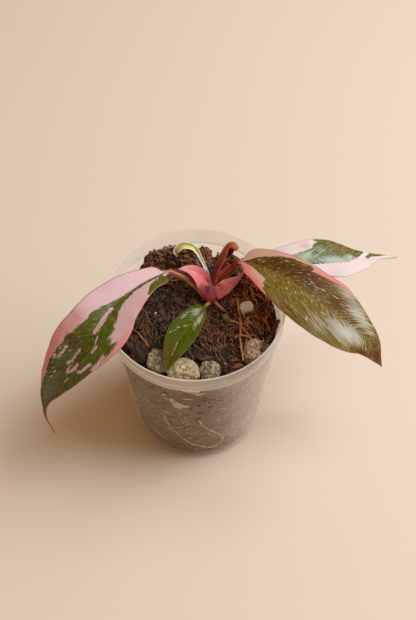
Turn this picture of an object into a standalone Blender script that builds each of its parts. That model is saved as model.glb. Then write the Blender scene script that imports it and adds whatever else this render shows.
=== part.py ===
"""A potted philodendron: pink and green leaves on a short crown, in a clear nursery pot.

Lengths are millimetres until a vertex is placed. The origin is the centre of the pot's foot, +Z is up
and -Y is the side that the small leaf hangs to.
"""

import math
from dataclasses import dataclass

import bmesh
import bpy
from mathutils import Euler, Matrix, Vector, noise

# Driving dimensions
MM = 0.001
GAP = 0.35

RIM_RADIUS = 50.0
POT_HEIGHT = 115.0
FOOT_RADIUS = 38.5
WALL_TOP_RADIUS = 47.4
BAND_FOOT_RADIUS = 49.2
BAND_HEIGHT = 12.5
WALL = 1.0
FLOOR = 1.5
POT_SIDES = 48
DRAIN_RADIUS = 3.5
DRAIN_CIRCLE = 22.0
DRAIN_COUNT = 6

SOIL_LEVEL = 94.0
SOIL_FLOOR = FLOOR + GAP
SOIL_RINGS = 10
SOIL_CRUMB = 9.0
SOIL_CRUMB_HEIGHT = 1.6
# Banks of the substrate: middle x and y, spread along x and y, rise
SOIL_BANKS = (
    (-16, 37, 17, 9, 8.0), (5, 38, 9, 7, 5.0), (-30, 14, 10, 14, 2.5), (12, -40, 30, 6, 1.0),
    (9, 15, 7, 7, 1.2), (38, 4, 8, 12, 1.5), (-32, -18, 10, 14, 1.5),
)

CROWN_FOOT = (9.3, 14.6, 82.0)
CROWN_TOP = (9.3, 15.6, 104.0)
# How far up the crown, and its radius there
CROWN_PROFILE = ((0.0, 2.6), (0.4, 2.8), (0.66, 3.2), (0.8, 4.1), (0.88, 4.1), (0.94, 3.2), (1.0, 1.8))
CROWN_SIDES = 16
BLADE = 0.8
STATIONS = (0, 0.04, 0.12, 0.25, 0.4, 0.55, 0.7, 0.85, 1)
ROOT_RADIUS = 1.1
ROOT_BURIED = 0.25
STALK_END = 0.05
MITRE_MOST = 1.6


@dataclass(frozen=True)
class Finish:
    """One surface: its colour in linear light, roughness and opacity."""

    name: str
    colour: tuple
    roughness: float
    opacity: float = 1.0


@dataclass(frozen=True)
class Leaf:
    """A blade on its stalk. The points run from the crown out to the tip. The half widths stand at
    STATIONS, and the angles are even steps from the blade's base to its tip. Right and left are as
    seen along the rib, from above."""

    name: str
    finish: Finish
    stalk: tuple
    rib: tuple
    stalk_width: tuple
    right: tuple
    left: tuple
    bank: tuple = (0, 0)
    lift_right: tuple = (18, 18)
    lift_left: tuple = (18, 18)
    curl: float = -8.0
    keel: float = 0.9
    thickness: float = BLADE
    rows: tuple = (6, 18)
    columns: int = 3


@dataclass(frozen=True)
class Lump:
    """A stone or a piece of bark: its centre, its three half axes and its turns in degrees."""

    name: str
    centre: tuple
    half: tuple
    turn: tuple = (0, 0, 0)
    rough: float = 0.16


CLEAR = Finish("clear_polypropylene", (0.78, 0.72, 0.64), 0.35, 0.35)
PEAT = Finish("peat_and_fine_bark", (0.05, 0.03, 0.02), 0.95)
BARK = Finish("pine_bark", (0.16, 0.07, 0.035), 0.9)
PUMICE = Finish("pumice", (0.42, 0.37, 0.28), 0.9)
STRAW = Finish("straw", (0.42, 0.22, 0.1), 0.7)
SEED = Finish("seed", (0.33, 0.2, 0.09), 0.6)
CROWN_RED = Finish("crown_red", (0.22, 0.02, 0.03), 0.35)
SHEATH_PINK = Finish("sheath_pink", (0.56, 0.12, 0.13), 0.35)
NEW_RED = Finish("new_leaf_red", (0.3, 0.05, 0.015), 0.35)
PALE = Finish("dried_sheath", (0.62, 0.55, 0.2), 0.5)
PINK_GREEN = Finish("leaf_pink_and_green", (0.5, 0.3, 0.28), 0.4)
OLIVE = Finish("leaf_olive", (0.14, 0.12, 0.04), 0.35)
GREEN = Finish("leaf_green", (0.08, 0.16, 0.02), 0.3)
ROOT = Finish("root", (0.5, 0.45, 0.15), 0.6)

LEAVES = (
    Leaf(
        "leaf_left", PINK_GREEN,
        stalk=((8.5, 15, 99), (6, 14.5, 101), (1.5, 17.3, 104.8), (-5, 19.5, 109.3), (-10, 20.2, 112)),
        rib=((-15, 20, 114), (-29, 8, 120), (-43, -5.5, 120), (-54, -19, 116), (-67, -30, 104),
             (-79, -38, 88), (-83, -42, 77), (-84, -45, 69), (-82, -48, 62)),
        stalk_width=(3.0, 1.7),
        right=(5, 8, 12.5, 16, 16.5, 11, 2), left=(7.5, 9, 15, 20, 16, 10, 1),
        bank=(9, 3, -2, -13), lift_right=(22, 22, 19), lift_left=(31, 13, 16),
        rows=(6, 24),
    ),
    Leaf(
        "leaf_right_front", OLIVE,
        stalk=((9.8, 16.4, 99.5), (11.6, 18.6, 101.2), (13.8, 20.2, 104.2), (17.6, 21.5, 108.6),
               (21.6, 21.8, 113.2)),
        rib=((25, 22, 119), (36, 17.5, 122), (51, 7, 123), (64, -3, 120), (78, -12, 114), (93, -20, 105),
             (101, -31, 94)),
        stalk_width=(1.9, 1.8),
        right=(6, 10.5, 16, 19, 21, 19.5, 11), left=(6.5, 10.5, 13.5, 16, 18.5, 17.5, 8),
        bank=(-4, 1, 11, 15), lift_right=(13, 9, 3), lift_left=(26, 15, 6), curl=-14,
        rows=(6, 20),
    ),
    Leaf(
        "leaf_right_back", PINK_GREEN,
        stalk=((9.6, 17.4, 98.5), (13.2, 23.2, 100), (17.5, 26.6, 103), (22, 27.8, 107.5),
               (27, 28.2, 112), (31.5, 28.2, 115)),
        rib=((38, 28, 117.5), (50, 26.5, 119), (64, 26, 118), (81, 27, 115.5), (99, 29.5, 110),
             (115, 34, 105)),
        stalk_width=(1.8, 1.5),
        right=(2, 4, 7.5, 11, 13.5, 8.5, 3), left=(2.5, 5.5, 9, 11.5, 9.5, 5.5, 4),
        bank=(6, 0, 8, 0), lift_right=(8, -2, 7), lift_left=(14, 14, 16),
        rows=(7, 18),
    ),
    Leaf(
        "leaf_small", GREEN,
        stalk=((9, 13, 97.5), (7.6, 9, 99)),
        rib=((6, 6, 101), (3, -1, 104), (-4, -12, 107), (-8, -19, 108), (-13, -29, 107),
             (-16, -38, 104)),
        stalk_width=(1.1, 1.0),
        right=(2, 5, 7, 8, 8.5, 7, 3.5), left=(1, 2.5, 5, 6.5, 7, 6, 4),
        bank=(22, 24, 16, 11), lift_right=(19, 18, 17), lift_left=(14, 14, 16), curl=-13,
        keel=0.5, rows=(3, 16),
    ),
)

SHEATHS = (
    Leaf(
        "sheath_left", SHEATH_PINK,
        stalk=((8.5, 16, 101),),
        rib=((6.8, 20.2, 103.5), (3.6, 22.2, 107), (-0.4, 22.8, 110), (-4.8, 22.2, 113),
             (-9.2, 21, 115.2)),
        stalk_width=(2.2, 2.2),
        right=(2.6, 4.4, 5.6, 5.8, 4.6, 2.8, 1.4), left=(2.6, 4.2, 5.8, 6.2, 5.6, 4.2, 2.2),
        bank=(-50, -45), lift_right=(45, 40), lift_left=(42, 40), curl=20, keel=0.1, rows=(2, 9), columns=2,
    ),
    Leaf(
        "sheath_right", SHEATH_PINK,
        stalk=((9.4, 13.6, 97.6),),
        rib=((11.4, 11.6, 98.4), (14.2, 11.6, 99.8), (18, 13, 102), (21.4, 15.2, 105), (24.8, 17.4, 109),
             (27.2, 19.2, 114)),
        stalk_width=(2.6, 2.6),
        right=(2.8, 4.4, 6, 6.6, 6.4, 4.8, 2.6), left=(2.4, 3, 3.6, 3.8, 3.2, 2, 1.2),
        bank=(48, 48), lift_right=(42, 36), lift_left=(42, 36), curl=18, keel=0.1, rows=(2, 9), columns=2,
    ),
    Leaf(
        "sheath_red_tip", NEW_RED,
        stalk=((10.8, 17.2, 102),),
        rib=((12.4, 19.3, 105.6), (15.2, 21.4, 109.6), (18.4, 22.8, 113.2), (21.4, 23.5, 116.8)),
        stalk_width=(1.0, 1.0),
        right=(1.0, 1.2, 1.6, 1.9, 1.7, 1.2, 0.6), left=(0.9, 1.1, 1.5, 1.9, 1.7, 1.2, 0.6),
        bank=(0, 0), lift_right=(40, 30), lift_left=(40, 30), curl=20, keel=0.1, rows=(2, 7), columns=2,
    ),
    Leaf(
        "sheath_dried", PALE,
        stalk=((9, 18, 99.5),),
        rib=((8.6, 22.5, 101.5), (7.2, 26.4, 104), (5.6, 29.3, 106.8), (3.5, 32.2, 111),
             (1.5, 34, 114.7), (-1.1, 34.8, 117.6), (-4, 34.9, 119), (-7, 34.6, 119.3),
             (-9.3, 33.4, 118), (-10.4, 32.5, 115.5), (-9.9, 31.9, 112)),
        stalk_width=(1.2, 1.2),
        right=(1.3, 1.4, 1.5, 1.6, 1.8, 1.9, 1.2), left=(1.3, 1.4, 1.5, 1.6, 1.8, 1.9, 1.2),
        bank=(0, 20), lift_right=(25, 30), lift_left=(25, 30), curl=20, keel=0.1, rows=(2, 17), columns=2,
    ),
)

# The rolled leaf: where it runs, how wide the roll is, and how far round it closes
ROLL_PATH = (
    (9.4, 18.4, 100), (10.3, 21.8, 103.8), (12.1, 24, 107.4), (14, 25.2, 111), (16.6, 26.4, 117),
    (18.7, 27.2, 122.3), (20.3, 27.4, 126.2), (22, 26.8, 127.6), (23.4, 25.4, 126.4),
)
ROLL_RADIUS = (2.4, 2.4, 2.4, 2.3, 2.3, 2.4, 2.6, 2.4, 1.4)
ROLL_CLOSED = (320, 315, 310, 290, 260, 230, 210, 200, 200)
ROLL_FACING = (-70, -70, -70, -65, -60, -55, -50, -50, -50)
ROLL_WALL = 0.8
ROLL_POINTS = 8
ROLL_ROWS = 15

STONES = (
    Lump("pumice_front_left", (-20, -27.4, 97.5), (6.4, 7, 5.8), (8, 0, 15)),
    Lump("pumice_front", (-6.2, -33.6, 98), (8.6, 6.2, 5.8), (0, 5, -8)),
    Lump("pumice_front_right", (7.4, -34.8, 98), (5.6, 5.2, 5.4), (0, -8, 12)),
    Lump("pumice_right", (31, -21.6, 97), (5, 7, 5.6), (10, 6, -14)),
    Lump("pumice_small", (37.6, -18.2, 98), (1.9, 2.1, 2.2), (0, 20, 30)),
    Lump("pumice_white", (29, 7.2, 96.3), (3.9, 3.2, 3.2), (0, 12, 20), 0.12),
)

CHUNKS = (
    Lump("bark_back_1", (-23.6, 32.1, 99.5), (7.5, 5, 3.4), (12, 0, 30)),
    Lump("bark_back_2", (-9, 38, 102), (9.5, 4.6, 3.4), (-14, 4, -8)),
    Lump("bark_back_3", (5, 36.6, 100.5), (5.6, 4.2, 3), (10, 10, -24)),
    Lump("bark_back_4", (-14, 27.6, 98), (7.5, 4, 3), (25, -6, 10)),
    Lump("bark_back_5", (14, 38, 98), (4.4, 3.2, 2.6), (20, 20, 30)),
    Lump("bark_back_6", (24, 34.4, 96), (3.8, 2.6, 2.2), (0, 25, -30)),
    Lump("bark_left_long", (-30.5, 1, 98), (8.5, 2.6, 2.2), (0, 6, 74)),
    Lump("bark_left_front", (-32.6, -18, 98), (10.5, 4.4, 3.2), (14, 0, 118)),
    Lump("bark_left_small", (-25, 13, 97), (3.4, 2.6, 2.2), (0, 10, 20)),
    Lump("bark_right_1", (21, 23.5, 97.5), (3.4, 3, 5.2), (18, 8, 15)),
    Lump("bark_right_2", (29, 24, 97), (2.6, 2.4, 5.8), (14, -8, 0)),
    Lump("bark_right_3", (39.6, 6, 96.5), (4.4, 3.4, 2.6), (0, 12, 60)),
    Lump("bark_front_flake", (21, -33, 97.5), (5.4, 2.4, 1.2), (20, 0, 16)),
    Lump("bark_middle_flake", (5, -25, 95.4), (4.6, 2, 1.2), (-18, 8, -10)),
    Lump("seed_bit", (17, 0.6, 96.2), (2, 2.6, 1.9), (0, 0, 25), 0.04),
)

# Thin pieces that lie on the substrate: their points and radius
STRAWS = (
    ("straw_long", ((23.6, 12.5, 97.8), (24.8, -1.5, 97.4), (24.9, -16, 97.8), (25.4, -28, 98)), 0.6),
    ("straw_left", ((-37, -4, 99.5), (-31, -11, 100), (-25.5, -19, 99.5)), 0.6),
    ("twig_right", ((44.4, -4.5, 99.5), (42.2, -12, 99.8), (38.6, -17.6, 99.6), (35.6, -23, 99)), 1.2),
    ("twig_small", ((30.8, 2.4, 96.8), (33.2, -4, 97.2), (36.5, -12, 97)), 0.8),
)

AERIAL_ROOT = ((9.6, 13, 97.4), (11.8, 9.6, 98.2), (13.9, 7.2, 98), (16.1, 5.7, 96.6), (17.8, 5.4, 94),
               (18.4, 5.2, 90))
AERIAL_RADIUS = 0.9

# Roots along the wall: degrees round the pot and heights
WALL_ROOTS = (
    ((-117, 55), (-114, 42), (-110, 36), (-105, 30), (-100, 24), (-94, 19), (-86, 16), (-79, 13),
     (-71, 16), (-68, 22), (-72, 30), (-80, 40), (-86, 48), (-89, 57)),
    ((-35, 60), (-24, 48), (-12, 38), (2, 33), (16, 34), (28, 40)),
    ((150, 66), (160, 54), (172, 44), (184, 38), (198, 37), (210, 42)),
)
ROOT_HUB = (9.3, 14.6, 77.5)
ROOT_GAP = 0.6
ROOT_HUB_RADIUS = 4.0


def clear_scene():
    """Empties the scene."""
    for item in list(bpy.data.objects):
        bpy.data.objects.remove(item, do_unlink=True)


def surface(finish):
    """The Principled material of a finish, made once."""
    known = bpy.data.materials.get(finish.name)
    if known:
        return known
    material = bpy.data.materials.new(finish.name)
    material.use_nodes = True
    shader = material.node_tree.nodes["Principled BSDF"]
    shader.inputs["Base Color"].default_value = (*finish.colour, 1.0)
    shader.inputs["Roughness"].default_value = finish.roughness
    shader.inputs["Metallic"].default_value = 0.0
    shader.inputs["Alpha"].default_value = finish.opacity
    material.diffuse_color = (*finish.colour, finish.opacity)
    return material


def new_object(name, mesh, finish):
    """An object in the scene from a bmesh, with its material."""
    bmesh.ops.recalc_face_normals(mesh, faces=mesh.faces)
    if mesh.calc_volume(signed=True) < 0:
        bmesh.ops.reverse_faces(mesh, faces=mesh.faces)
    data = bpy.data.meshes.new(name)
    mesh.to_mesh(data)
    mesh.free()
    data.shade_smooth()
    data.materials.append(surface(finish))
    item = bpy.data.objects.new(name, data)
    bpy.context.collection.objects.link(item)
    return item


def settle(item):
    """Gives an object the mesh that its modifiers make, and drops the modifiers."""
    bpy.context.view_layer.update()
    found = item.evaluated_get(bpy.context.evaluated_depsgraph_get())
    data = bpy.data.meshes.new_from_object(found)
    item.modifiers.clear()
    item.data = data


def boolean(item, other, kind, solver="EXACT"):
    """Joins another object to this one, or cuts it away, and removes the other."""
    step = item.modifiers.new(kind.lower(), "BOOLEAN")
    step.operation = kind
    step.solver = solver
    step.object = other
    settle(item)
    bpy.data.objects.remove(other, do_unlink=True)


def swollen(item, gap):
    """A copy of an object whose skin stands out by the gap, as a cutter."""
    mesh = bmesh.new()
    mesh.from_mesh(item.data)
    mesh.transform(item.matrix_world)
    mesh.normal_update()
    moves = [(vertex, vertex.normal * vertex.calc_shell_factor()) for vertex in mesh.verts]
    for vertex, way in moves:
        vertex.co += way * min(1.0, MITRE_MOST / max(way.length, 0.001)) * gap * MM
    data = bpy.data.meshes.new("cutter")
    mesh.to_mesh(data)
    mesh.free()
    cutter = bpy.data.objects.new("cutter", data)
    bpy.context.collection.objects.link(cutter)
    return cutter


def keep_largest(item):
    """Drops the loose scraps that a cut leaves, all but the piece with the most faces."""
    mesh = bmesh.new()
    mesh.from_mesh(item.data)
    left = set(mesh.faces)
    islands = []
    while left:
        island = set()
        front = [left.pop()]
        while front:
            face = front.pop()
            island.add(face)
            near = {other for edge in face.edges for other in edge.link_faces}
            front.extend(near & left)
            left -= near
        islands.append(island)
    islands.sort(key=len)
    scraps = [face for island in islands[:-1] for face in island]
    bmesh.ops.delete(mesh, geom=scraps, context="FACES")
    mesh.to_mesh(item.data)
    mesh.free()


def boxes_meet(first, second):
    """Whether two objects' boxes meet."""
    boxes = []
    for item in (first, second):
        places = [vertex.co for vertex in item.data.vertices]
        boxes.append([(min(place[axis] for place in places) - GAP * MM,
                       max(place[axis] for place in places) + GAP * MM) for axis in range(3)])
    return all(a[0] < b[1] and b[0] < a[1] for a, b in zip(*boxes))


def carve(item, neighbours, gap=GAP):
    """Cuts an object clear of its neighbours by the gap. EXACT loses a thin blade that lies beside
    its cutter, so this is done with MANIFOLD."""
    for other in neighbours:
        boolean(item, swollen(other, gap), "DIFFERENCE", "MANIFOLD")
    keep_largest(item)


def spline(points, count):
    """Evenly spaced points along a smooth curve through the given ones."""
    knots = [Vector(point) for point in points]
    knots = [2 * knots[0] - knots[1], *knots, 2 * knots[-1] - knots[-2]]
    fine = []
    for a, b, c, d in zip(knots, knots[1:], knots[2:], knots[3:]):
        for step in range(16):
            u = step / 16
            fine.append(0.5 * (2 * b + (c - a) * u + (2 * a - 5 * b + 4 * c - d) * u * u
                               + (3 * b - a - 3 * c + d) * u ** 3))
    fine.append(knots[-2])
    reach = [0.0]
    for near, far in zip(fine, fine[1:]):
        reach.append(reach[-1] + (far - near).length)
    even = []
    place = 0
    for step in range(count):
        target = reach[-1] * step / (count - 1)
        while place < len(fine) - 2 and reach[place + 1] < target:
            place += 1
        part = (target - reach[place]) / (reach[place + 1] - reach[place])
        even.append(fine[place].lerp(fine[place + 1], min(1.0, max(0.0, part))))
    return even


def eased(values, place):
    """A value at a place from 0 to 1 among even stations, with eased steps between them."""
    if len(values) == 1:
        return values[0]
    spot = min(max(place, 0.0), 1.0) * (len(values) - 1)
    low = min(int(spot), len(values) - 2)
    part = 0.5 - 0.5 * math.cos(math.pi * (spot - low))
    return values[low] * (1 - part) + values[low + 1] * part


def tangents(points):
    """The unit direction of a run of points at each of them."""
    last = len(points) - 1
    return [(points[min(i + 1, last)] - points[max(i - 1, 0)]).normalized() for i in range(last + 1)]


def sleeve(name, rings, finish):
    """A closed skin through rings of points, in millimetres, capped at both ends.

    The first half of each ring is split one way and the rest the other, so that the two faces of a thin
    blade have the same triangles.
    """
    around = len(rings[0])
    mesh = bmesh.new()
    bmesh.ops.create_grid(mesh, x_segments=around, y_segments=len(rings) - 1, size=1.0)
    mesh.verts.ensure_lookup_table()
    for index, vertex in enumerate(mesh.verts):
        row, column = divmod(index, around + 1)
        vertex.co = Vector(rings[row][column % around]) * MM
    upper = [face for face in mesh.faces
             if min(vertex.index % (around + 1) for vertex in face.verts) < around // 2 - 1]
    lower = [face for face in mesh.faces if face not in set(upper)]
    bmesh.ops.triangulate(mesh, faces=upper, quad_method="FIXED")
    bmesh.ops.triangulate(mesh, faces=lower, quad_method="ALTERNATE")
    bmesh.ops.remove_doubles(mesh, verts=mesh.verts, dist=0.00001 * MM)
    ends = [edge for edge in mesh.edges if edge.is_boundary]
    bmesh.ops.holes_fill(mesh, edges=ends, sides=0)
    return new_object(name, mesh, finish)


def tube(name, run, radius, finish, taper=1.0):
    """A round cord along a run of points: a curve with a bevel and filled caps, made a mesh."""
    curve = bpy.data.curves.new(name, "CURVE")
    curve.dimensions = "3D"
    curve.bevel_depth = radius * MM
    curve.bevel_resolution = 1
    curve.use_fill_caps = True
    line = curve.splines.new("POLY")
    line.points.add(len(run) - 1)
    for index, (slot, point) in enumerate(zip(line.points, run)):
        slot.co = (*(point * MM), 1.0)
        slot.radius = 1.0 + (taper - 1.0) * index / (len(run) - 1)
    guide = bpy.data.objects.new(name, curve)
    bpy.context.collection.objects.link(guide)
    bpy.context.view_layer.update()
    data = bpy.data.meshes.new_from_object(guide.evaluated_get(bpy.context.evaluated_depsgraph_get()))
    bpy.data.objects.remove(guide, do_unlink=True)
    mesh = bmesh.new()
    mesh.from_mesh(data)
    bmesh.ops.remove_doubles(mesh, verts=mesh.verts, dist=0.01 * MM)
    return new_object(name, mesh, finish)


def along(values, place):
    """A value at a place from 0 to 1, on a smooth curve through the values at STATIONS."""
    last = len(STATIONS) - 1

    def slope(index):
        low, high = max(index - 1, 0), min(index + 1, last)
        return (values[high] - values[low]) / (STATIONS[high] - STATIONS[low])

    index = max(i for i in range(last) if STATIONS[i] <= place)
    span = STATIONS[index + 1] - STATIONS[index]
    u = (place - STATIONS[index]) / span
    return ((1 + 2 * u) * (1 - u) ** 2 * values[index] + u * (1 - u) ** 2 * span * slope(index)
            + u * u * (3 - 2 * u) * values[index + 1] + u * u * (u - 1) * span * slope(index + 1))


def blade_columns(leaf, place, side):
    """Offsets across one half of a blade: how far out and up, and the slope there."""
    lift = math.radians(eased(leaf.lift_right if side > 0 else leaf.lift_left, place))
    widths = leaf.right if side > 0 else leaf.left
    reach = max(0.0, along((0, *widths, 0), place))
    columns = [(0.0, 0.0, lift)]
    for step in range(leaf.columns):
        slope = lift + math.radians(leaf.curl) * (step + 0.5) / leaf.columns
        out, rise, _ = columns[-1]
        length = reach / leaf.columns
        columns.append((out + math.cos(slope) * length, rise + math.sin(slope) * length, slope))
    return columns


def blade_ring(leaf, centre, way, place):
    """The ring of points round a blade, or round its stalk where place is below 0."""
    across = way.cross(Vector((0, 0, 1))).normalized()
    above = across.cross(way)
    bank = math.radians(eased(leaf.bank, place))
    side = across * math.cos(bank) + above * math.sin(bank)
    up = above * math.cos(bank) - across * math.sin(bank)
    count = 2 * leaf.columns + 1
    stalk = eased(leaf.stalk_width, 1 + place) if place < 0 else leaf.stalk_width[-1]
    thick = min(stalk, leaf.stalk_width[-1])
    blend = min(1.0, max(0.0, place / STALK_END))
    top = []
    bottom = []
    right = blade_columns(leaf, max(place, 0.0), 1)
    left = blade_columns(leaf, max(place, 0.0), -1)
    for index in range(count):
        turn = math.pi * (1 - (index + 0.5) / count)
        column = index - leaf.columns
        hand = 1 if column >= 0 else -1
        out, rise, slope = (right if hand > 0 else left)[abs(column)]
        thin = leaf.thickness / 2
        keel = leaf.keel * (1 - 0.7 * max(place, 0.0)) if column == 0 else 0.0
        slant = hand * math.sin(slope) if column else 0.0
        out = max(out, 0.12 * abs(column))
        flat_top = (hand * out - slant * thin, rise + math.cos(slope) * thin)
        flat_bottom = (hand * out + slant * thin, rise - math.cos(slope) * thin - keel)
        round_top = (stalk * math.cos(turn), thick * math.sin(turn))
        round_bottom = (stalk * math.cos(turn), -thick * math.sin(turn))
        for ring, flat, full in ((top, flat_top, round_top), (bottom, flat_bottom, round_bottom)):
            x = full[0] + (flat[0] - full[0]) * blend
            z = full[1] + (flat[1] - full[1]) * blend
            ring.append(centre + side * x + up * z)
    return top + bottom[::-1]


def build_leaf(leaf):
    """One leaf: a stalk that flattens into a keeled blade, all one skin."""
    points = spline(leaf.stalk + leaf.rib, 240)
    start = min(range(len(points)), key=lambda i: (points[i] - Vector(leaf.rib[0])).length)
    ways = tangents(points)
    stalk_rows, blade_rows = leaf.rows
    rings = []
    for row in range(stalk_rows):
        index = round(start * row / stalk_rows)
        rings.append(blade_ring(leaf, points[index], ways[index], row / stalk_rows - 1))
    for row in range(blade_rows + 1):
        place = row / blade_rows
        index = round(start + (len(points) - 1 - start) * place)
        rings.append(blade_ring(leaf, points[index], ways[index], place))
    return sleeve(leaf.name, rings, leaf.finish)


def build_new_leaf():
    """The rolled leaf: a thin sheet wound round its own axis, open at the top."""
    points = spline(ROLL_PATH, ROLL_ROWS)
    ways = tangents(points)
    rings = []
    for row, (centre, way) in enumerate(zip(points, ways)):
        place = row / (ROLL_ROWS - 1)
        across = way.cross(Vector((0, 0, 1))).normalized()
        above = across.cross(way)
        radius = eased(ROLL_RADIUS, place)
        closed = eased(ROLL_CLOSED, place)
        middle = eased(ROLL_FACING, place) + 180
        turns = [math.radians(middle + closed * (i / (ROLL_POINTS - 1) - 0.5)) for i in range(ROLL_POINTS)]
        outer = [centre + (across * math.cos(a) + above * math.sin(a)) * radius for a in turns]
        inner = [centre + (across * math.cos(a) + above * math.sin(a)) * (radius - ROLL_WALL)
                 for a in turns]
        rings.append(outer + inner[::-1])
    return sleeve("new_leaf_rolled", rings, NEW_RED)


def build_crown():
    """The short stem, which swells where the leaves and sheaths grow from it."""
    foot = Vector(CROWN_FOOT)
    top = Vector(CROWN_TOP)
    turns = [math.tau * i / CROWN_SIDES for i in range(CROWN_SIDES)]
    rings = []
    for place, radius in CROWN_PROFILE:
        centre = foot.lerp(top, place)
        rings.append([centre + Vector((radius * math.cos(a), radius * math.sin(a), 0)) for a in turns])
    return sleeve("crown", rings, CROWN_RED)


def inner_radius(height):
    """The pot's inner radius where the wall is straight, under the band."""
    inside_foot = FOOT_RADIUS - WALL
    inside_top = WALL_TOP_RADIUS - WALL
    band = POT_HEIGHT - BAND_HEIGHT
    return inside_foot + (inside_top - inside_foot) * min(height, band) / band


def build_pot():
    """The pot: one profile turned round its axis, with drain holes through the floor."""
    band = POT_HEIGHT - BAND_HEIGHT
    rim = RIM_RADIUS
    profile = (
        (0, 0), (FOOT_RADIUS - 4, 0), (FOOT_RADIUS - 1.7, 0.7), (FOOT_RADIUS - 0.4, 2.2),
        (FOOT_RADIUS + 0.4, 4.5), (WALL_TOP_RADIUS, band - 0.8), (BAND_FOOT_RADIUS, band),
        (rim, POT_HEIGHT - 0.7), (rim - 0.35, POT_HEIGHT), (rim - 0.85, POT_HEIGHT),
        (rim - 1.15, POT_HEIGHT - 0.6), (BAND_FOOT_RADIUS - WALL, band + 1.5),
        (WALL_TOP_RADIUS - WALL, band - 0.2), (inner_radius(6), 6), (FOOT_RADIUS - 1.6, 3.2),
        (FOOT_RADIUS - 3.6, FLOOR), (0, FLOOR),
    )
    mesh = bmesh.new()
    points = [mesh.verts.new(Vector((x, 0, z)) * MM) for x, z in profile]
    line = [mesh.edges.new(pair) for pair in zip(points, points[1:])]
    bmesh.ops.spin(mesh, geom=points + line, cent=(0, 0, 0), axis=(0, 0, 1), angle=math.tau,
                   steps=POT_SIDES, use_merge=True)
    bmesh.ops.remove_doubles(mesh, verts=mesh.verts, dist=0.001 * MM)
    pot = new_object("pot", mesh, CLEAR)
    for index in range(DRAIN_COUNT):
        turn = math.tau * index / DRAIN_COUNT
        drill = bmesh.new()
        place = Matrix.Translation(Vector((DRAIN_CIRCLE * math.cos(turn), DRAIN_CIRCLE * math.sin(turn),
                                           0)) * MM)
        bmesh.ops.create_cone(drill, cap_ends=True, segments=12, radius1=DRAIN_RADIUS * MM,
                              radius2=DRAIN_RADIUS * MM, depth=6 * FLOOR * MM, matrix=place)
        boolean(pot, new_object("drill", drill, CLEAR), "DIFFERENCE")
    return pot


def soil_height(x, y):
    """The substrate's surface: a level with banks at the back left and crumbs all over."""
    height = SOIL_LEVEL
    for middle_x, middle_y, spread_x, spread_y, rise in SOIL_BANKS:
        away = ((x - middle_x) / spread_x) ** 2 + ((y - middle_y) / spread_y) ** 2
        height += rise * math.exp(-away)
    height += SOIL_CRUMB_HEIGHT * noise.noise(Vector((x, y, 0)) / SOIL_CRUMB)
    return height + 0.5 * SOIL_CRUMB_HEIGHT * noise.noise(Vector((y, x, 40)) / (0.45 * SOIL_CRUMB))


def build_substrate():
    """The potting mix: the pot's inner shape with a lumpy top."""
    mesh = bmesh.new()
    foot = FOOT_RADIUS - 4 - GAP
    shape = [(0, SOIL_FLOOR), (foot, SOIL_FLOOR), (foot + 2, SOIL_FLOOR + 2),
             (inner_radius(7) - GAP, 7), (inner_radius(30) - GAP, 30), (inner_radius(50) - GAP, 50),
             (inner_radius(70) - GAP, 70)]
    edge = inner_radius(SOIL_LEVEL) - GAP
    shape += [(edge * (SOIL_RINGS - ring) / SOIL_RINGS, SOIL_LEVEL) for ring in range(SOIL_RINGS + 1)]
    points = [mesh.verts.new(Vector((x, 0, z)) * MM) for x, z in shape]
    line = [mesh.edges.new(pair) for pair in zip(points, points[1:])]
    bmesh.ops.spin(mesh, geom=points + line, cent=(0, 0, 0), axis=(0, 0, 1), angle=math.tau,
                   steps=POT_SIDES, use_merge=True)
    bmesh.ops.remove_doubles(mesh, verts=mesh.verts, dist=0.001 * MM)
    for vertex in mesh.verts:
        if vertex.co.z > (SOIL_LEVEL - 1) * MM:
            vertex.co.z = soil_height(vertex.co.x / MM, vertex.co.y / MM) * MM
    return new_object("substrate", mesh, PEAT)


def build_lump(lump, finish, detail=2):
    """A rough closed lump: a ball of few faces, pushed in and out by noise, stretched and turned."""
    mesh = bmesh.new()
    bmesh.ops.create_icosphere(mesh, subdivisions=detail, radius=1.0)
    own = Vector(lump.centre)
    for vertex in mesh.verts:
        knobs = noise.noise(vertex.co * 1.4 + own) + 0.6 * noise.noise(vertex.co * 3 + own)
        swell = 1 + lump.rough * knobs
        blunt = max(abs(axis) for axis in vertex.co) ** -0.45
        vertex.co = vertex.co * swell * blunt
    turn = Euler([math.radians(angle) for angle in lump.turn]).to_matrix().to_4x4()
    size = Matrix.Diagonal((*(half * MM for half in lump.half), 1))
    mesh.transform(Matrix.Translation(own * MM) @ turn @ size)
    return new_object(lump.name, mesh, finish)


def wall_point(turn, height):
    """A root's centre where it lies along the inside of the pot."""
    radius = inner_radius(height) - GAP - ROOT_RADIUS - ROOT_BURIED
    angle = math.radians(turn)
    return (radius * math.cos(angle), radius * math.sin(angle), height)


def inside(point):
    """A root's point, drawn in from the wall where the curve passes it."""
    away = math.hypot(point.x, point.y)
    most = inner_radius(point.z) - GAP - ROOT_RADIUS - ROOT_BURIED
    shrink = min(1.0, most / away)
    return Vector((point.x * shrink, point.y * shrink, point.z))


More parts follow.
